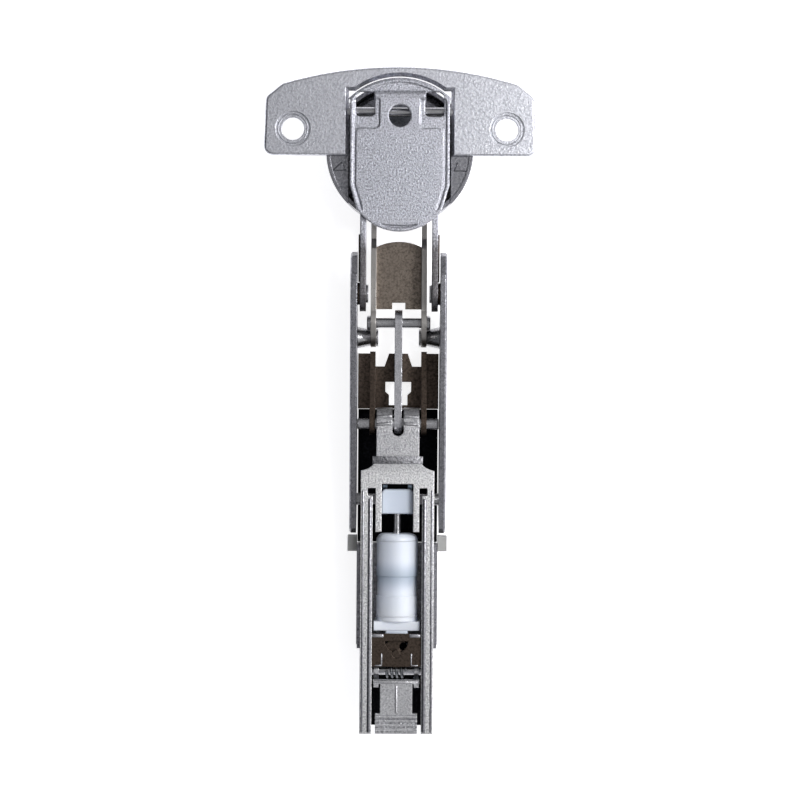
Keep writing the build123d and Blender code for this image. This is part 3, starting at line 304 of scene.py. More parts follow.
@dataclass(frozen=True)
class MetalFinish:
    """A plated or turned steel, with grain, stains and softly rounded edges."""

    name: str
    light: str
    dark: str
    rough: tuple[float, float]
    grain: float = 0.55
    relief: float = 0.03
    stain: float = 7.0
    edge: float = 0.22
    stretch: Point = (1.0, 1.0, 1.0)
    zone: Zone | None = None

    def tinted(
        self,
        tree: bpy.types.NodeTree,
        place: bpy.types.NodeSocket,
        colour: bpy.types.NodeSocket,
    ) -> bpy.types.NodeSocket:
        """Lay the zone's tint over the colour, where the finish has one.

        Args:
            tree: the material's node tree.
            place: the socket with the object's coordinates.
            colour: the socket with the plain colour.

        Returns:
            The socket with the colour to use.
        """
        if not self.zone:
            return colour
        zone = self.zone
        axes = add_node(tree, "ShaderNodeSeparateXYZ", links={0: place})
        away = add_node(
            tree, "ShaderNodeMath", {"operation": "ABSOLUTE"}, {0: axes.outputs[zone.axis]}
        )
        reach = span(zone.start * MM, zone.end * MM, 0.0, zone.strength)
        return mixed(tree, remapped(tree, away.outputs["Value"], reach), colour, zone.tint)

    def build(self) -> bpy.types.Material:
        """Make the material: mottled colour, grainy roughness and relief, rounded edges."""
        material, tree = new_material(self.name)
        place = add_node(tree, "ShaderNodeTexCoord").outputs["Object"]
        lay = add_node(tree, "ShaderNodeMapping", {"Scale": self.stretch}, {"Vector": place})
        grain = noise(tree, lay.outputs["Vector"], self.grain, GRAIN_NOISE)
        stain = noise(tree, lay.outputs["Vector"], self.stain, STAIN_NOISE)
        share = add_node(
            tree,
            "ShaderNodeMath",
            {"operation": "MAXIMUM"},
            {0: remapped(tree, grain, SPECK_SHARE), 1: remapped(tree, stain, STAIN_SHARE)},
        )
        colour = mixed(tree, share.outputs["Value"], self.light, self.dark)
        rough = span(ROUGH_FROM, ROUGH_TO, *self.rough)
        finished(
            tree,
            {"Metallic": 1.0},
            {
                "Base Color": self.tinted(tree, place, colour),
                "Roughness": remapped(tree, grain, rough),
                "Normal": rounded_relief(tree, grain, self.edge, self.relief),
            },
        )
        return material


@dataclass(frozen=True)
class PlasticFinish:
    """A moulded plastic with a faint grain, and a tinted band where it has one."""

    name: str
    colour: str
    shade: str
    rough: float
    depth: float
    band: tuple[float, float] | None = None
    band_colour: str = "8fa3b4"
    band_strength: float = 0.62
    cloud: float = 9.0
    skin: float = 0.6
    skin_depth: float = 0.01
    skin_strength: float = 0.6
    edge: float = 0.3
    refraction: float = 1.49
    sinking: float = 0.35
    sinking_colour: Point = (1.0, 1.0, 1.1)

    def banded(
        self,
        tree: bpy.types.NodeTree,
        place: bpy.types.NodeSocket,
        colour: bpy.types.NodeSocket,
    ) -> bpy.types.NodeSocket:
        """Lay the soft band over the colour, where the finish has one.

        Args:
            tree: the material's node tree.
            place: the socket with the object's coordinates.
            colour: the socket with the plain colour.

        Returns:
            The socket with the colour to use.
        """
        if not self.band:
            return colour
        middle = (self.band[0] + self.band[1]) / 2 * MM
        half = abs(self.band[1] - self.band[0]) / 2 * MM
        axes = add_node(tree, "ShaderNodeSeparateXYZ", links={0: place})
        along = add_node(
            tree, "ShaderNodeMath", {"operation": "SUBTRACT", 1: middle}, {0: axes.outputs["Y"]}
        )
        away = add_node(
            tree, "ShaderNodeMath", {"operation": "ABSOLUTE"}, {0: along.outputs["Value"]}
        )
        soft = {**span(half, 0.0, 0.0, self.band_strength), "interpolation_type": "SMOOTHSTEP"}
        share = remapped(tree, away.outputs["Value"], soft)
        return mixed(tree, share, colour, self.band_colour)

    def build(self) -> bpy.types.Material:
        """Make the material: cloudy colour, light that sinks in, and a fine moulded skin."""
        material, tree = new_material(self.name)
        place = add_node(tree, "ShaderNodeTexCoord").outputs["Object"]
        cloud = noise(tree, place, self.cloud, PLASTIC_NOISE)
        skin = noise(tree, place, self.skin, PLASTIC_NOISE)
        colour = mixed(tree, cloud, self.colour, self.shade)
        normal = rounded_relief(tree, skin, self.edge, self.skin_depth, self.skin_strength)
        finished(
            tree,
            {
                "Roughness": self.rough,
                "IOR": self.refraction,
                "Subsurface Weight": self.sinking,
                "Subsurface Radius": self.sinking_colour,
                "Subsurface Scale": self.depth * MM,
            },
            {"Base Color": self.banded(tree, place, colour), "Normal": normal},
        )
        return material


Finish = MetalFinish | PlasticFinish

# Nickel-plated cold-rolled steel, blasted before plating: a pale grey with a visible sparkle
BLASTED_NICKEL = MetalFinish(
    "blasted_nickel", "e4e5ec", "94959e", rough=(0.28, 0.46), grain=0.55, relief=0.07
)
# The cover is pressed with a finer, deeper grain, and its rolled rim is worn bright
COVER_NICKEL = MetalFinish(
    "cover_nickel",
    "dcdde6",
    "5d5e68",
    rough=(0.28, 0.44),
    grain=0.42,
    relief=0.1,
    edge=0.5,
    # its neck plates painted dark brown as the shade they lie in beside the carrier
    zone=Zone("Y", 18.5, 24.0, "3a332d", 0.75),
)
# The arm's top is barrel-plated bright, with small pits
ARM_NICKEL = MetalFinish(
    "arm_nickel",
    "ffffff",
    "85858c",
    rough=(0.28, 0.44),
    grain=0.42,
    relief=0.09,
    edge=0.3,
    # a darker grey on the neck, blending in between 79 and 75 mm along Y
    zone=Zone("Y", 79.0, 75.0, "77777e", 0.5),
)
# The floor inside the channel, painted near black as the deep shade there
SHADED_STEEL = MetalFinish("shaded_steel", "1c1c20", "0a0a0c", rough=(0.4, 0.6), relief=0.02)
# Nickel-plated steel, tumbled and smooth: clear soft reflections, darker in the folds
TUMBLED_NICKEL = MetalFinish("tumbled_nickel", "d6d6db", "86868c", rough=(0.22, 0.38))
# Nickel-plated steel deep inside, painted brown as the shade that falls there
PAINTED_SHADE_NICKEL = MetalFinish(
    "painted_shade_nickel",
    "93887e",
    "453d37",
    rough=(0.26, 0.45),
    relief=0.025,
    # paler along its side walls: a painted highlight where their top edges catch the light
    zone=Zone("X", 5.45, 5.6, "b4b2b0", 0.8),
)
# Deeper down, painted nearly black-brown as the deeper shade
DEEP_PAINTED_SHADE_NICKEL = MetalFinish(
    "deep_painted_shade_nickel", "5c5149", "29231f", rough=(0.3, 0.48), relief=0.025
)
# Carrier, cup, rails and arm base: tumbled nickel, mottled dark by the pickling bath
MOTTLED_NICKEL = MetalFinish(
    "mottled_nickel", "a4a4aa", "525258", rough=(0.22, 0.4), grain=0.6, relief=0.04
)
# Clip latch: tumbled bright, with small dark pits
LATCH_NICKEL = MetalFinish(
    "latch_nickel", "f4f4f7", "808086", rough=(0.24, 0.4), grain=0.5, relief=0.06
)
# Turned and polished pin steel: bright, with fine marks round the pin
TURNED_STEEL = MetalFinish(
    "turned_steel",
    "c9c9cc",
    "7c7c80",
    rough=(0.16, 0.3),
    grain=0.4,
    relief=0.015,
    stretch=(4.0, 0.6, 0.6),
)
# Hard-drawn spring wire: darker and slightly blue
SPRING_WIRE = MetalFinish("spring_wire", "8e9094", "55575b", rough=(0.25, 0.4), relief=0.015)
# Bright zinc plating: a cool bluish grey with an even sheen
BLUE_ZINC = MetalFinish("blue_zinc", "a9bccf", "6c7f92", rough=(0.22, 0.36), relief=0.02)
# The latch's thumb plate, pressed with a coarse die: rough and darker in the hollows
PRESSED_GRIP = MetalFinish(
    "pressed_grip", "dcdce0", "3c3c40", rough=(0.3, 0.5), grain=0.5, relief=0.16
)
# The band across the arm's bend: a coarser die, with near-black specks that are partly its pitted
# texture and partly painted shade on the bend
COARSE_GRIP = MetalFinish(
    "coarse_grip", "b0b0b5", "1e1e22", rough=(0.32, 0.55), grain=0.7, relief=0.25
)
# Acetal damper body: milky white that lets light in, with the piston as a grey-blue shade
MILKY_ACETAL = PlasticFinish(
    "milky_acetal", "f2f6ff", "e2eafc", rough=0.32, depth=2.0, band=(-99.0, -107.5)
)
# Acetal block: opaque white
WHITE_ACETAL = PlasticFinish("white_acetal", "dfe7f4", "ccd6e6", rough=0.35, depth=1.0)
# Glass-filled nylon stop: pale grey and matt
GREY_NYLON = PlasticFinish("grey_nylon", "b4b4b3", "8f8f8f", rough=0.5, depth=0.5)

NODE_FINISHES: dict[str, Finish] = {
    "flange_plate": BLASTED_NICKEL,
    "cover_link": COVER_NICKEL,
    "cup_bowl": MOTTLED_NICKEL,
    "cup_pin": TURNED_STEEL,
    "rear_pin": TURNED_STEEL,
    "closing_spring": SPRING_WIRE,
    # The inner link, control lever, link washers, bridge plate and depth cam take finishes painted
    # brown as shade
    "inner_link": PAINTED_SHADE_NICKEL,
    "lever_pin": TURNED_STEEL,
    "control_lever": DEEP_PAINTED_SHADE_NICKEL,
    "centre_plate": TUMBLED_NICKEL,
    "left_carrier_plate": MOTTLED_NICKEL,
    "right_carrier_plate": MOTTLED_NICKEL,
    "carrier_pin": TURNED_STEEL,
    "crossing_rivets": TURNED_STEEL,
    "crossing_bushes": TURNED_STEEL,
    "link_rivets": TURNED_STEEL,
    "link_washers": DEEP_PAINTED_SHADE_NICKEL,
    "nose_pin": TURNED_STEEL,
    "hinge_arm": ARM_NICKEL,
    "arm_base": MOTTLED_NICKEL,
    "stop_pads": GREY_NYLON,
    "damper_cylinder": MILKY_ACETAL,
    "damper_rod": TURNED_STEEL,
    "damper_head": WHITE_ACETAL,
    "damper_fork": BLUE_ZINC,
    "bridge_plate": DEEP_PAINTED_SHADE_NICKEL,
    "depth_cam": DEEP_PAINTED_SHADE_NICKEL,
    "latch_pin": TURNED_STEEL,
    "latch_lever": LATCH_NICKEL,
    "latch_spring": SPRING_WIRE,
}


class Paint:
    """Makes each finish once and hands it out."""

    def __init__(self) -> None:
        """Start with no finish made."""
        self.made: dict[str, bpy.types.Material] = {}

    def material(self, finish: Finish) -> bpy.types.Material:
        """Give the finish's material, made on first use.

        Args:
            finish: the finish that is wanted.

        Returns:
            Its material.
        """
        if finish.name not in self.made:
            self.made[finish.name] = finish.build()
        return self.made[finish.name]

    def dress(self, piece: bpy.types.Object, finish: Finish) -> None:
        """Put one finish on every slot of a piece.

        Args:
            piece: the piece to dress.
            finish: the finish that it takes.
        """
        if not piece.material_slots:
            piece.data.materials.append(self.material(finish))
        for place in piece.material_slots:
            place.material = self.material(finish)


def clear_selection() -> None:
    """Deselect everything, because an operator acts on all that is selected."""
    bpy.ops.object.select_all(action="DESELECT")


def settle(
    piece: bpy.types.Object, name: str, bevel: float, segments: int
) -> bpy.types.Object:
    """Apply a primitive's place, round its edges and smooth it.

    Args:
        piece: the primitive, still the active object.
        name: the name that it takes.
        bevel: the width of its edge rounding, in millimetres.
        segments: how many steps the rounding has.

    Returns:
        The finished piece.
    """
    piece.name = name
    bpy.ops.object.transform_apply(location=True, rotation=True, scale=True)
    rounding = piece.modifiers.new("rounding", "BEVEL")
    rounding.width = bevel * MM
    rounding.segments = segments
    rounding.limit_method = "ANGLE"
    bpy.ops.object.modifier_apply(modifier=rounding.name)
    bpy.ops.object.shade_smooth_by_angle(angle=SMOOTH_ANGLE)
    return piece


def bar(
    name: str, low: Point, high: Point, bevel: float, segments: int = BAR_STEPS
) -> bpy.types.Object:
    """Model a straight bar between two corners, with rounded edges.

    Args:
        name: the piece's name.
        low: its lowest corner, in millimetres.
        high: its highest corner, in millimetres.
        bevel: the width of the rounding, in millimetres.
        segments: how many steps the rounding has.

    Returns:
        The bar.
    """
    clear_selection()
    middle = [(a + b) / 2 * MM for a, b in zip(low, high)]
    bpy.ops.mesh.primitive_cube_add(size=1, location=middle)
    piece = bpy.context.object
    piece.scale = [(b - a) * MM for a, b in zip(low, high)]
    return settle(piece, name, bevel, segments)


def bar_pair(
    name: str, low: Point, high: Point, bevel: float, segments: int = BAR_STEPS
) -> list[bpy.types.Object]:
    """Model a bar on the right side and its mirror image on the left.

    Args:
        name: the name that both begin with.
        low: the right bar's lowest corner, in millimetres.
        high: the right bar's highest corner, in millimetres.
        bevel: the width of the rounding, in millimetres.
        segments: how many steps the rounding has.

    Returns:
        Both bars.
    """
    left_low, left_high = (-high[0], *low[1:]), (-low[0], *high[1:])
    return [
        bar(f"{name}_left", left_low, left_high, bevel, segments),
        bar(f"{name}_right", low, high, bevel, segments),
    ]


def rod(
    name: str, start: Point, end: Point, radius: float, bevel: float
) -> bpy.types.Object:
    """Model a round rod between two points, with domed ends.

    Args:
        name: the piece's name.
        start: the middle of its first end, in millimetres.
        end: the middle of its second end, in millimetres.
        radius: its radius, in millimetres.
        bevel: how far each end is domed, in millimetres.

    Returns:
        The rod.
    """
    clear_selection()
    first, last = Vector(start) * MM, Vector(end) * MM
    run = last - first
    bpy.ops.mesh.primitive_cylinder_add(
        vertices=ROD_SIDES,
        radius=radius * MM,
        depth=run.length,
        location=(first + last) / 2,
        rotation=run.to_track_quat("Z", "Y").to_euler(),
    )
    return settle(bpy.context.object, name, bevel, ROD_STEPS)


def rod_pair(
    name: str, start: Point, end: Point, radius: float, bevel: float
) -> list[bpy.types.Object]:
    """Model a rod on the right side and its mirror image on the left.

    Args:
        name: the name that both begin with.
        start: the middle of the right rod's first end, in millimetres.
        end: the middle of the right rod's second end, in millimetres.
        radius: the radius, in millimetres.
        bevel: how far each end is domed, in millimetres.

    Returns:
        Both rods.
    """
    left_start, left_end = (-start[0], *start[1:]), (-end[0], *end[1:])
    return [
        rod(f"{name}_left", left_start, left_end, radius, bevel),
        rod(f"{name}_right", start, end, radius, bevel),
    ]


def ring(
    name: str,
    middle: Point,
    radius: float,
    wire: float,
    sides: int,
    steps: int,
    tilt: float = 0.0,
) -> bpy.types.Object:
    """Model a smooth ring with a round section.

    Args:
        name: the ring's name.
        middle: its middle, in millimetres.
        radius: the radius of its centre line, in millimetres.
        wire: the radius of its section, in millimetres.
        sides: the number of steps round the ring.
        steps: the number of steps round its section.
        tilt: how far it is turned about X, in radians.

    Returns:
        The ring.
    """
    clear_selection()
    bpy.ops.mesh.primitive_torus_add(
        major_radius=radius * MM,
        minor_radius=wire * MM,
        major_segments=sides,
        minor_segments=steps,
        location=[value * MM for value in middle],
        rotation=(tilt, 0, 0),
    )
    bpy.ops.object.transform_apply(location=True, rotation=True, scale=True)
    bpy.ops.object.shade_smooth()
    piece = bpy.context.object
    piece.name = name
    return piece


def joined(name: str, parts: list[bpy.types.Object]) -> bpy.types.Object:
    """Join modelled shapes into one piece.

    Args:
        name: the joined piece's name.
        parts: the shapes, which are used up.

    Returns:
        The joined piece, with its place in its mesh.
    """
    clear_selection()
    for part in parts:
        part.select_set(True)
    bpy.context.view_layer.objects.active = parts[0]
    bpy.ops.object.join()
    piece = bpy.context.object
    piece.name = name
    bpy.ops.object.transform_apply(location=True, rotation=True, scale=True)
    return piece


@dataclass
class SubAssembly:
    """A group of new pieces that share a paint pot. Its sizes are in millimetres."""

    paint: Paint

    def keep(self, piece: bpy.types.Object, body: Body, slot: Slot, finish: Finish) -> None:
        """Dress a piece, make it ride on its body and report it.

        Args:
            piece: the finished piece.
            body: the CAD body that carries it.
            slot: the material slot that the piece is listed with; it is not used.
            finish: the finish that it takes.
        """
        self.paint.dress(piece, finish)
        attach(piece, body.value)
        LOG.info("built %s on %s", piece.name, body.value)

    def build(self) -> None:
        """Build and place the pieces of the group."""
        raise NotImplementedError


@dataclass
class CupDetails(SubAssembly):
    """The rolled rings in the screw recesses of the flange."""

    screw_x: float = 26.0
    screw_y: float = 5.4
    ring_radius: float = 3.55
    ring_z: float = 1.32
    ring_wire: float = 0.17
    ring_sides: int = 56
    ring_steps: int = 10

    def recess_rings(self) -> bpy.types.Object:
        """Model the rolled ring inside each screw recess."""
        parts = [
            ring(
                f"ring_{side}",
                (side * self.screw_x, self.screw_y, self.ring_z),
                self.ring_radius,
                self.ring_wire,
                self.ring_sides,
                self.ring_steps,
            )
            for side in (-1, 1)
        ]
        return joined("recess_rings", parts)

    def build(self) -> None:
        """Build and place the rings."""
        self.keep(self.recess_rings(), Body.CUP, Slot.NICKEL, BLASTED_NICKEL)


@dataclass
class CoverDetails(SubAssembly):
    """The rolled edge along the cover's top arc, and the strips beside its neck plates."""

    rim_radius: float = 17.5
    rim_wire: float = 0.34
    rim_z: float = 2.6
    rim_sides: int = 160
    rim_steps: int = 12
    cut_y: float = 12.5
    strip_inner: float = 9.45
    strip_outer: float = 9.9
    strip_front: float = -20.0
    strip_back: float = -31.6
    strip_low: float = -3.2
    strip_high: float = -1.2
    strip_bevel: float = 0.1

    def rim(self) -> bpy.types.Object:
        """Model the rolled edge: a ring cut across, so that its top arc is left."""
        rim = ring(
            "cover_rim",
            (0, 0, self.rim_z),
            self.rim_radius,
            self.rim_wire,
            self.rim_sides,
            self.rim_steps,
        )
        bpy.ops.object.mode_set(mode="EDIT")
        bpy.ops.mesh.select_all(action="SELECT")
        bpy.ops.mesh.bisect(
            plane_co=(0, self.cut_y * MM, 0),
            plane_no=(0, 1, 0),
            clear_inner=True,
            use_fill=True,
        )
        bpy.ops.mesh.select_all(action="SELECT")
        bpy.ops.mesh.normals_make_consistent(inside=False)
        bpy.ops.object.mode_set(mode="OBJECT")
        bpy.ops.object.shade_smooth_by_angle(angle=CUT_SMOOTH_ANGLE)
        return rim

    def side_strips(self) -> bpy.types.Object:
        """Model a guide strip on the outside of each neck plate; its dark brown is painted shade.
        """
        low = (self.strip_inner, self.strip_back, self.strip_low)
        high = (self.strip_outer, self.strip_front, self.strip_high)
        return joined("neck_strips", bar_pair("strip", low, high, self.strip_bevel, FINE_STEPS))

    def build(self) -> None:
        """Build and place the rim and the strips."""
        self.keep(self.rim(), Body.COVER, Slot.NICKEL, COVER_NICKEL)
        # the neck strips take the dark brown painted shade
        self.keep(self.side_strips(), Body.COVER, Slot.NICKEL, DEEP_PAINTED_SHADE_NICKEL)


@dataclass
class ArmNose(SubAssembly):
    """The curled ridges across the nose and the pressed band at the bend behind it."""

    half: float = 5.15
    slot_half: float = 1.45
    pivot_y: float = -66.2
    pivot_z: float = -1.54
    nose_radius: float = 4.0
    curl_angles: tuple[float, ...] = (116.0, 88.0, 60.0)
    curl_radius: float = 0.52
    curl_sunk_share: float = 0.45
    curl_sweep: float = 0.25
    curl_fall: float = 0.05
    curl_dome: float = 0.2
    band_y: float = -74.9
    band_half: float = 6.1
    band_width: float = 1.9
    band_depth: float = 0.3
    band_rise: float = 0.06
    band_bevel: float = 0.1
    top: float = 3.4

    def curls(self) -> bpy.types.Object:
        """Model the ridges that the curling die leaves, on both sides of the slot."""
        reach = self.nose_radius - self.curl_radius * self.curl_sunk_share
        ridges = []
        for number, angle in enumerate(self.curl_angles):
            turn = math.radians(angle)
            y = self.pivot_y + reach * math.cos(turn)
            z = self.pivot_z + reach * math.sin(turn)
            start = (self.slot_half, y, z)
            end = (self.half, y - self.curl_sweep, z - self.curl_fall)
            ridges += rod_pair(f"curl_{number}", start, end, self.curl_radius, self.curl_dome)
        return joined("nose_curls", ridges)

    def bend_band(self) -> bpy.types.Object:
        """Model the low, coarsely pressed strip across the bend."""
        reach = self.band_width / 2
        low = (-self.band_half, self.band_y - reach, self.top - self.band_depth)
        high = (self.band_half, self.band_y + reach, self.top + self.band_rise)
        return bar("bend_strip", low, high, self.band_bevel, FINE_STEPS)

    def build(self) -> None:
        """Build and place both pieces."""
        self.keep(self.curls(), Body.ARM, Slot.NICKEL, ARM_NICKEL)
        self.keep(self.bend_band(), Body.ARM, Slot.NICKEL, COARSE_GRIP)


@dataclass
class ArmRails(SubAssembly):
    """The rounded folds along both sides of the damper bay and the outer bend lines."""

    fold_x: float = 6.62
    fold_radius: float = 0.62
    fold_sunk_share: float = 0.62
    fold_dome: float = 0.3
    fold_front: float = -84.2
    lip_x: float = 8.35
    lip_radius: float = 0.4
    lip_sunk_share: float = 0.75
    lip_dome: float = 0.2
    lip_front: float = -82.2
    back: float = -140.9
    top: float = 3.4

    def folds(self) -> bpy.types.Object:
        """Model the two long folds, a little proud of the arm's top."""
        height = self.top - self.fold_radius * self.fold_sunk_share
        start = (self.fold_x, self.fold_front, height)
        end = (self.fold_x, self.back, height)
        return joined("rail_folds", rod_pair("fold", start, end, self.fold_radius, self.fold_dome))

    def outer_lips(self) -> bpy.types.Object:
        """Model the two outer bend lines of the arm."""
        height = self.top - self.lip_radius * self.lip_sunk_share
        start = (self.lip_x, self.lip_front, height)
        end = (self.lip_x, self.back, height)
        return joined("rail_lips", rod_pair("lip", start, end, self.lip_radius, self.lip_dome))

    def build(self) -> None:
        """Build and place both pieces."""
        self.keep(self.folds(), Body.ARM, Slot.NICKEL, MOTTLED_NICKEL)
        self.keep(self.outer_lips(), Body.ARM, Slot.NICKEL, MOTTLED_NICKEL)


@dataclass
class ChannelFloor(SubAssembly):
    """The floor plate that is seen beside the arm's neck and beside the latch, painted near black
    as the deep shade in the channel.
    """

    low: float = -12.5
    high: float = -11.95
    front_half: float = 9.85
    front: float = -62.6
    middle: float = -95.5
    base_back: float = -120.1
    back: float = -140.9
    back_half: float = 7.4
    bevel: float = 0.2

    def plates(self) -> bpy.types.Object:
        """Model the floor in front of the base and the floor behind it."""
        ahead = bar(
            "ahead",
            (-self.front_half, self.middle, self.low),
            (self.front_half, self.front, self.high),
            self.bevel,
        )
        behind = bar(
            "behind",
            (-self.back_half, self.back, self.low),
            (self.back_half, self.base_back, self.high),
            self.bevel,
        )
        return joined("channel_floor", [ahead, behind])

    def build(self) -> None:
        """Build and place the floor."""
        self.keep(self.plates(), Body.ARM, Slot.NICKEL, SHADED_STEEL)


@dataclass
class Damper(SubAssembly):
    """The moulded rings round the damper cylinder and the tab behind its foot."""

    axis_z: float = -1.6
    radius: float = 5.0
    ring_ys: tuple[float, ...] = (-94.6, -112.9)
    ring_wire: float = 0.175
    ring_sunk: float = 0.05
    ring_sides: int = 64
    ring_steps: int = 10
    tab_half: float = 2.7
    tab_front: float = -116.2
    tab_back: float = -117.9
    tab_below: float = 1.4
    tab_height: float = 2.2
    tab_bevel: float = 0.35

    def rings(self) -> bpy.types.Object:
        """Model the two fine moulded rings round the cylinder."""
        parts = [
            ring(
                f"ring_{number}",
                (0, y, self.axis_z),
                self.radius - self.ring_sunk,
                self.ring_wire,
                self.ring_sides,
                self.ring_steps,
                math.pi / 2,
            )
            for number, y in enumerate(self.ring_ys)
        ]
        return joined("cylinder_rings", parts)

    def tab(self) -> bpy.types.Object:
        """Model the tab that holds the cylinder behind its foot."""
        top = self.axis_z + self.radius - self.tab_below
        low = (-self.tab_half, self.tab_back, top - self.tab_height)
        high = (self.tab_half, self.tab_front, top)
        return bar("cylinder_tab", low, high, self.tab_bevel)

    def build(self) -> None:
        """Build and place the pieces."""
        self.keep(self.rings(), Body.ARM, Slot.WHITE, MILKY_ACETAL)
        self.keep(self.tab(), Body.ARM, Slot.WHITE, WHITE_ACETAL)


@dataclass
class Bridge(SubAssembly):
    """The bright front lip and the two pressed corner marks of the bridge plate."""

    top: float = 2.8
    mark_outer: float = 5.2
    mark_inner: float = 3.6
    mark_front: float = -121.8
    mark_back: float = -124.7
    mark_width: float = 0.32
    mark_depth: float = 0.15
    mark_rise: float = 0.12
    mark_bevel: float = 0.08
    lip_inner: float = 3.1
    lip_outer: float = 5.9
    lip_front: float = -117.1
    lip_back: float = -117.9
    lip_depth: float = 0.3
    lip_rise: float = 0.25
    lip_bevel: float = 0.2

    def marks(self) -> bpy.types.Object:
        """Model the two corner marks as fine raised beads."""
        half = self.mark_width / 2
        low_z, high_z = self.top - self.mark_depth, self.top + self.mark_rise
        feet = bar_pair(
            "foot",
            (self.mark_inner, self.mark_back - half, low_z),
            (self.mark_outer, self.mark_back + half, high_z),
            self.mark_bevel,
            FINE_STEPS,
        )
        stems = bar_pair(
            "stem",
            (self.mark_inner - half, self.mark_back, low_z),
            (self.mark_inner + half, self.mark_front, high_z),
            self.mark_bevel,
            FINE_STEPS,
        )
        return joined("bridge_marks", feet + stems)

    def lip(self) -> bpy.types.Object:
        """Model the bright turned-up lip at the front of the plate."""
        low = (self.lip_inner, self.lip_back, self.top - self.lip_depth)
        high = (self.lip_outer, self.lip_front, self.top + self.lip_rise)
        return joined("bridge_lip", bar_pair("lip", low, high, self.lip_bevel))

    def build(self) -> None:
        """Build and place both pieces."""
        self.keep(self.marks(), Body.ARM, Slot.ZINC, TUMBLED_NICKEL)
        self.keep(self.lip(), Body.ARM, Slot.ZINC, TUMBLED_NICKEL)


@dataclass
class Latch(SubAssembly):
    """The ridges and the pressed grip of the clip latch."""

    top: float = 2.4
    bar_y: float = -128.75
    bar_half: float = 5.45
    bar_radius: float = 0.45
    bar_z: float = 2.35
    spine_front: float = -129.6
    spine_back: float = -136.2
    spine_radius: float = 0.38
    spine_z: float = 2.25
    ridge_dome: float = 0.2
    grip_front: float = -138.3
    grip_back: float = -141.1
    grip_half: float = 4.7
    grip_columns: int = 9
    grip_rows: int = 3
    pip_share_across: float = 0.8
    pip_share_along: float = 0.72
    pip_depth: float = 0.2
    pip_rise: float = 0.22
    pip_bevel: float = 0.18

    def ridges(self) -> bpy.types.Object:
        """Model the front bar and the middle spine."""
        front = rod(
            "front",
            (-self.bar_half, self.bar_y, self.bar_z),
            (self.bar_half, self.bar_y, self.bar_z),
            self.bar_radius,
            self.ridge_dome,
        )
        spine = rod(
            "spine",
            (0, self.spine_front, self.spine_z),
            (0, self.spine_back, self.spine_z),
            self.spine_radius,
            self.ridge_dome,
        )
        return joined("latch_ridges", [front, spine])

    def grip(self) -> bpy.types.Object:
        """Model the grid of small pyramids on the thumb plate."""
        across = 2 * self.grip_half / self.grip_columns
        along = (self.grip_front - self.grip_back) / self.grip_rows
        half_x, half_y = across * self.pip_share_across / 2, along * self.pip_share_along / 2
        low_z, high_z = self.top - self.pip_depth, self.top + self.pip_rise
        parts = []
        for column in range(self.grip_columns):
            for row in range(self.grip_rows):
                x = -self.grip_half + (column + 0.5) * across
                y = self.grip_back + (row + 0.5) * along
                low = (x - half_x, y - half_y, low_z)
                high = (x + half_x, y + half_y, high_z)
                parts.append(bar(f"pip_{column}_{row}", low, high, self.pip_bevel, FINE_STEPS))
        return joined("latch_grip", parts)

    def build(self) -> None:
        """Build and place both pieces."""
        self.keep(self.ridges(), Body.LATCH, Slot.NICKEL, LATCH_NICKEL)
        self.keep(self.grip(), Body.LATCH, Slot.NICKEL, PRESSED_GRIP)


@dataclass(frozen=True)
class Lamp:
    """A soft square lamp: its place and side in metres, and its power in watts."""

    name: str
    place: Point
    side: float
    power: float


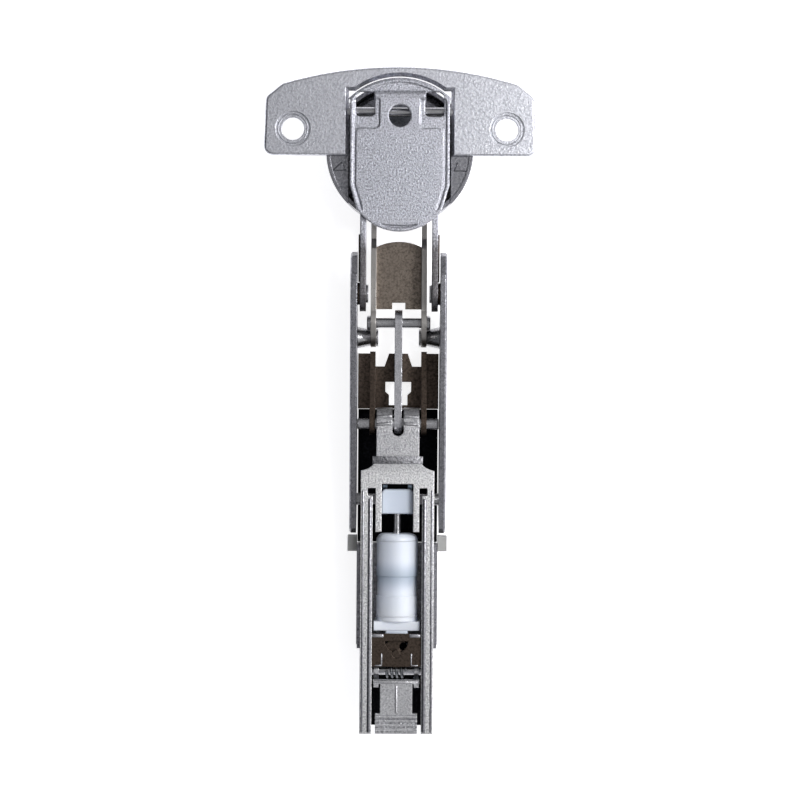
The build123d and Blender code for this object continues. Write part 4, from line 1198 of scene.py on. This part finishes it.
@dataclass
class Studio:
    """The white floor, the soft lamps, the pale world and the camera, in metres."""

    floor_z: float = -0.01262
    floor_size: float = 3.0
    floor_colour: str = "eeeef2"
    floor_glow: float = 0.8
    background: str = "ffffff"
    lens: float = 120.0
    sensor: float = 36.0
    clip_start: float = 0.01
    distance: float = 0.649
    target: tuple[float, float] = (0.00046, -0.06034)
    roll: float = 0.0068
    world_low: str = "3e4047"
    world_high: str = "ffffff"
    world_left: float = -0.7
    world_right: float = 0.8
    world_strength: float = 0.88
    lamps: tuple[Lamp, ...] = (
        Lamp("right_box", place=(0.26, 0.03, 0.42), side=0.2, power=1.35),
        Lamp("side_box", place=(0.5, -0.1, 0.2), side=0.3, power=0.3),
        Lamp("left_strip", place=(-0.45, -0.1, 0.22), side=0.12, power=0.04),
    )

    def floor(self) -> None:
        """Lay the white floor, which glows for the camera and keeps the object's shadow."""
        clear_selection()
        bpy.ops.mesh.primitive_plane_add(size=self.floor_size, location=(0, 0, self.floor_z))
        sheet = bpy.context.object
        sheet.name = "white_floor"
        material, tree = new_material("white_card")
        path = add_node(tree, "ShaderNodeLightPath")
        shown = path.outputs["Is Camera Ray"]
        for kind in ("Is Glossy Ray", "Is Transmission Ray"):
            either = {0: shown, 1: path.outputs[kind]}
            wider = add_node(tree, "ShaderNodeMath", {"operation": "MAXIMUM"}, either)
            shown = wider.outputs["Value"]
        glow = add_node(
            tree, "ShaderNodeMath", {"operation": "MULTIPLY", 1: self.floor_glow}, {0: shown}
        )
        lit = add_node(tree, "ShaderNodeBsdfDiffuse", {"Color": linear_colour(self.floor_colour)})
        light = add_node(
            tree,
            "ShaderNodeEmission",
            {"Color": linear_colour(self.background)},
            {"Strength": glow.outputs["Value"]},
        )
        both = add_node(
            tree,
            "ShaderNodeAddShader",
            links={0: lit.outputs["BSDF"], 1: light.outputs["Emission"]},
        )
        add_node(tree, "ShaderNodeOutputMaterial", links={"Surface": both.outputs["Shader"]})
        sheet.data.materials.append(material)

    def world(self) -> None:
        """Make a plain world, brighter on the right, as in a room with one large window."""
        world = bpy.data.worlds.new("room")
        bpy.context.scene.world = world
        world.use_nodes = True
        tree = world.node_tree
        tree.nodes.clear()
        place = add_node(tree, "ShaderNodeTexCoord")
        axes = add_node(tree, "ShaderNodeSeparateXYZ", links={0: place.outputs["Generated"]})
        across = span(self.world_left, self.world_right, 0.0, 1.0)
        soft = {**across, "interpolation_type": "SMOOTHSTEP"}
        side = remapped(tree, axes.outputs["X"], soft)
        sky = add_node(
            tree,
            "ShaderNodeBackground",
            {"Strength": self.world_strength},
            {"Color": mixed(tree, side, self.world_low, self.world_high)},
        )
        # the camera itself sees plain white above the far edge of the floor
        white = add_node(
            tree,
            "ShaderNodeBackground",
            {"Strength": 1.0, "Color": linear_colour(self.background)},
        )
        path = add_node(tree, "ShaderNodeLightPath")
        shown = add_node(
            tree,
            "ShaderNodeMixShader",
            links={
                0: path.outputs["Is Camera Ray"],
                1: sky.outputs["Background"],
                2: white.outputs["Background"],
            },
        )
        add_node(tree, "ShaderNodeOutputWorld", links={"Surface": shown.outputs["Shader"]})

    def hang(self, lamp: Lamp) -> None:
        """Hang one lamp that points at the middle of the object.

        Args:
            lamp: the lamp's place, side and power.
        """
        data = bpy.data.lights.new(lamp.name, "AREA")
        data.shape = "SQUARE"
        data.size = lamp.side
        data.energy = lamp.power
        holder = bpy.data.objects.new(lamp.name, data)
        bpy.context.scene.collection.objects.link(holder)
        holder.location = lamp.place
        aim = Vector((*self.target, 0)) - Vector(lamp.place)
        holder.rotation_euler = aim.to_track_quat("-Z", "Y").to_euler()

    def camera(self) -> None:
        """Set the camera straight above, turned by the photograph's slight roll."""
        data = bpy.data.cameras.new("camera")
        data.lens = self.lens
        data.sensor_width = self.sensor
        data.clip_start = self.clip_start
        camera = bpy.data.objects.new("camera", data)
        bpy.context.scene.collection.objects.link(camera)
        camera.location = (*self.target, self.distance)
        camera.rotation_euler = (0, 0, self.roll)
        bpy.context.scene.camera = camera

    def build(self) -> None:
        """Build the whole studio."""
        self.camera()
        self.floor()
        self.world()
        for lamp in self.lamps:
            self.hang(lamp)
        bpy.context.scene.view_settings.view_transform = "Standard"
        LOG.info("built the studio")


class Hinge:
    """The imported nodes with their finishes, and the pieces that are added to them."""

    def __init__(self, nodes: dict[str, bpy.types.Object]) -> None:
        """Keep the CAD nodes and open the paint.

        Args:
            nodes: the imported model's objects by name.
        """
        self.nodes = nodes
        self.paint = Paint()

    def dress_nodes(self) -> None:
        """Give every CAD node the finish of the real piece."""
        for name, node in self.nodes.items():
            self.paint.dress(node, NODE_FINISHES[name])
            LOG.info("dressed %s", name)

    def build(self) -> None:
        """Dress the nodes and add the detail pieces."""
        self.dress_nodes()
        groups = (CupDetails, CoverDetails, ArmNose, ArmRails, ChannelFloor, Damper, Bridge, Latch)
        for group in groups:
            group(self.paint).build()


def main() -> None:
    """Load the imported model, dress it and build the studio."""
    logging.basicConfig(level=logging.INFO, format="%(message)s")
    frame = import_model()
    Studio().build()
    Hinge(frame["nodes"]).build()


if __name__ == "__main__":
    main()
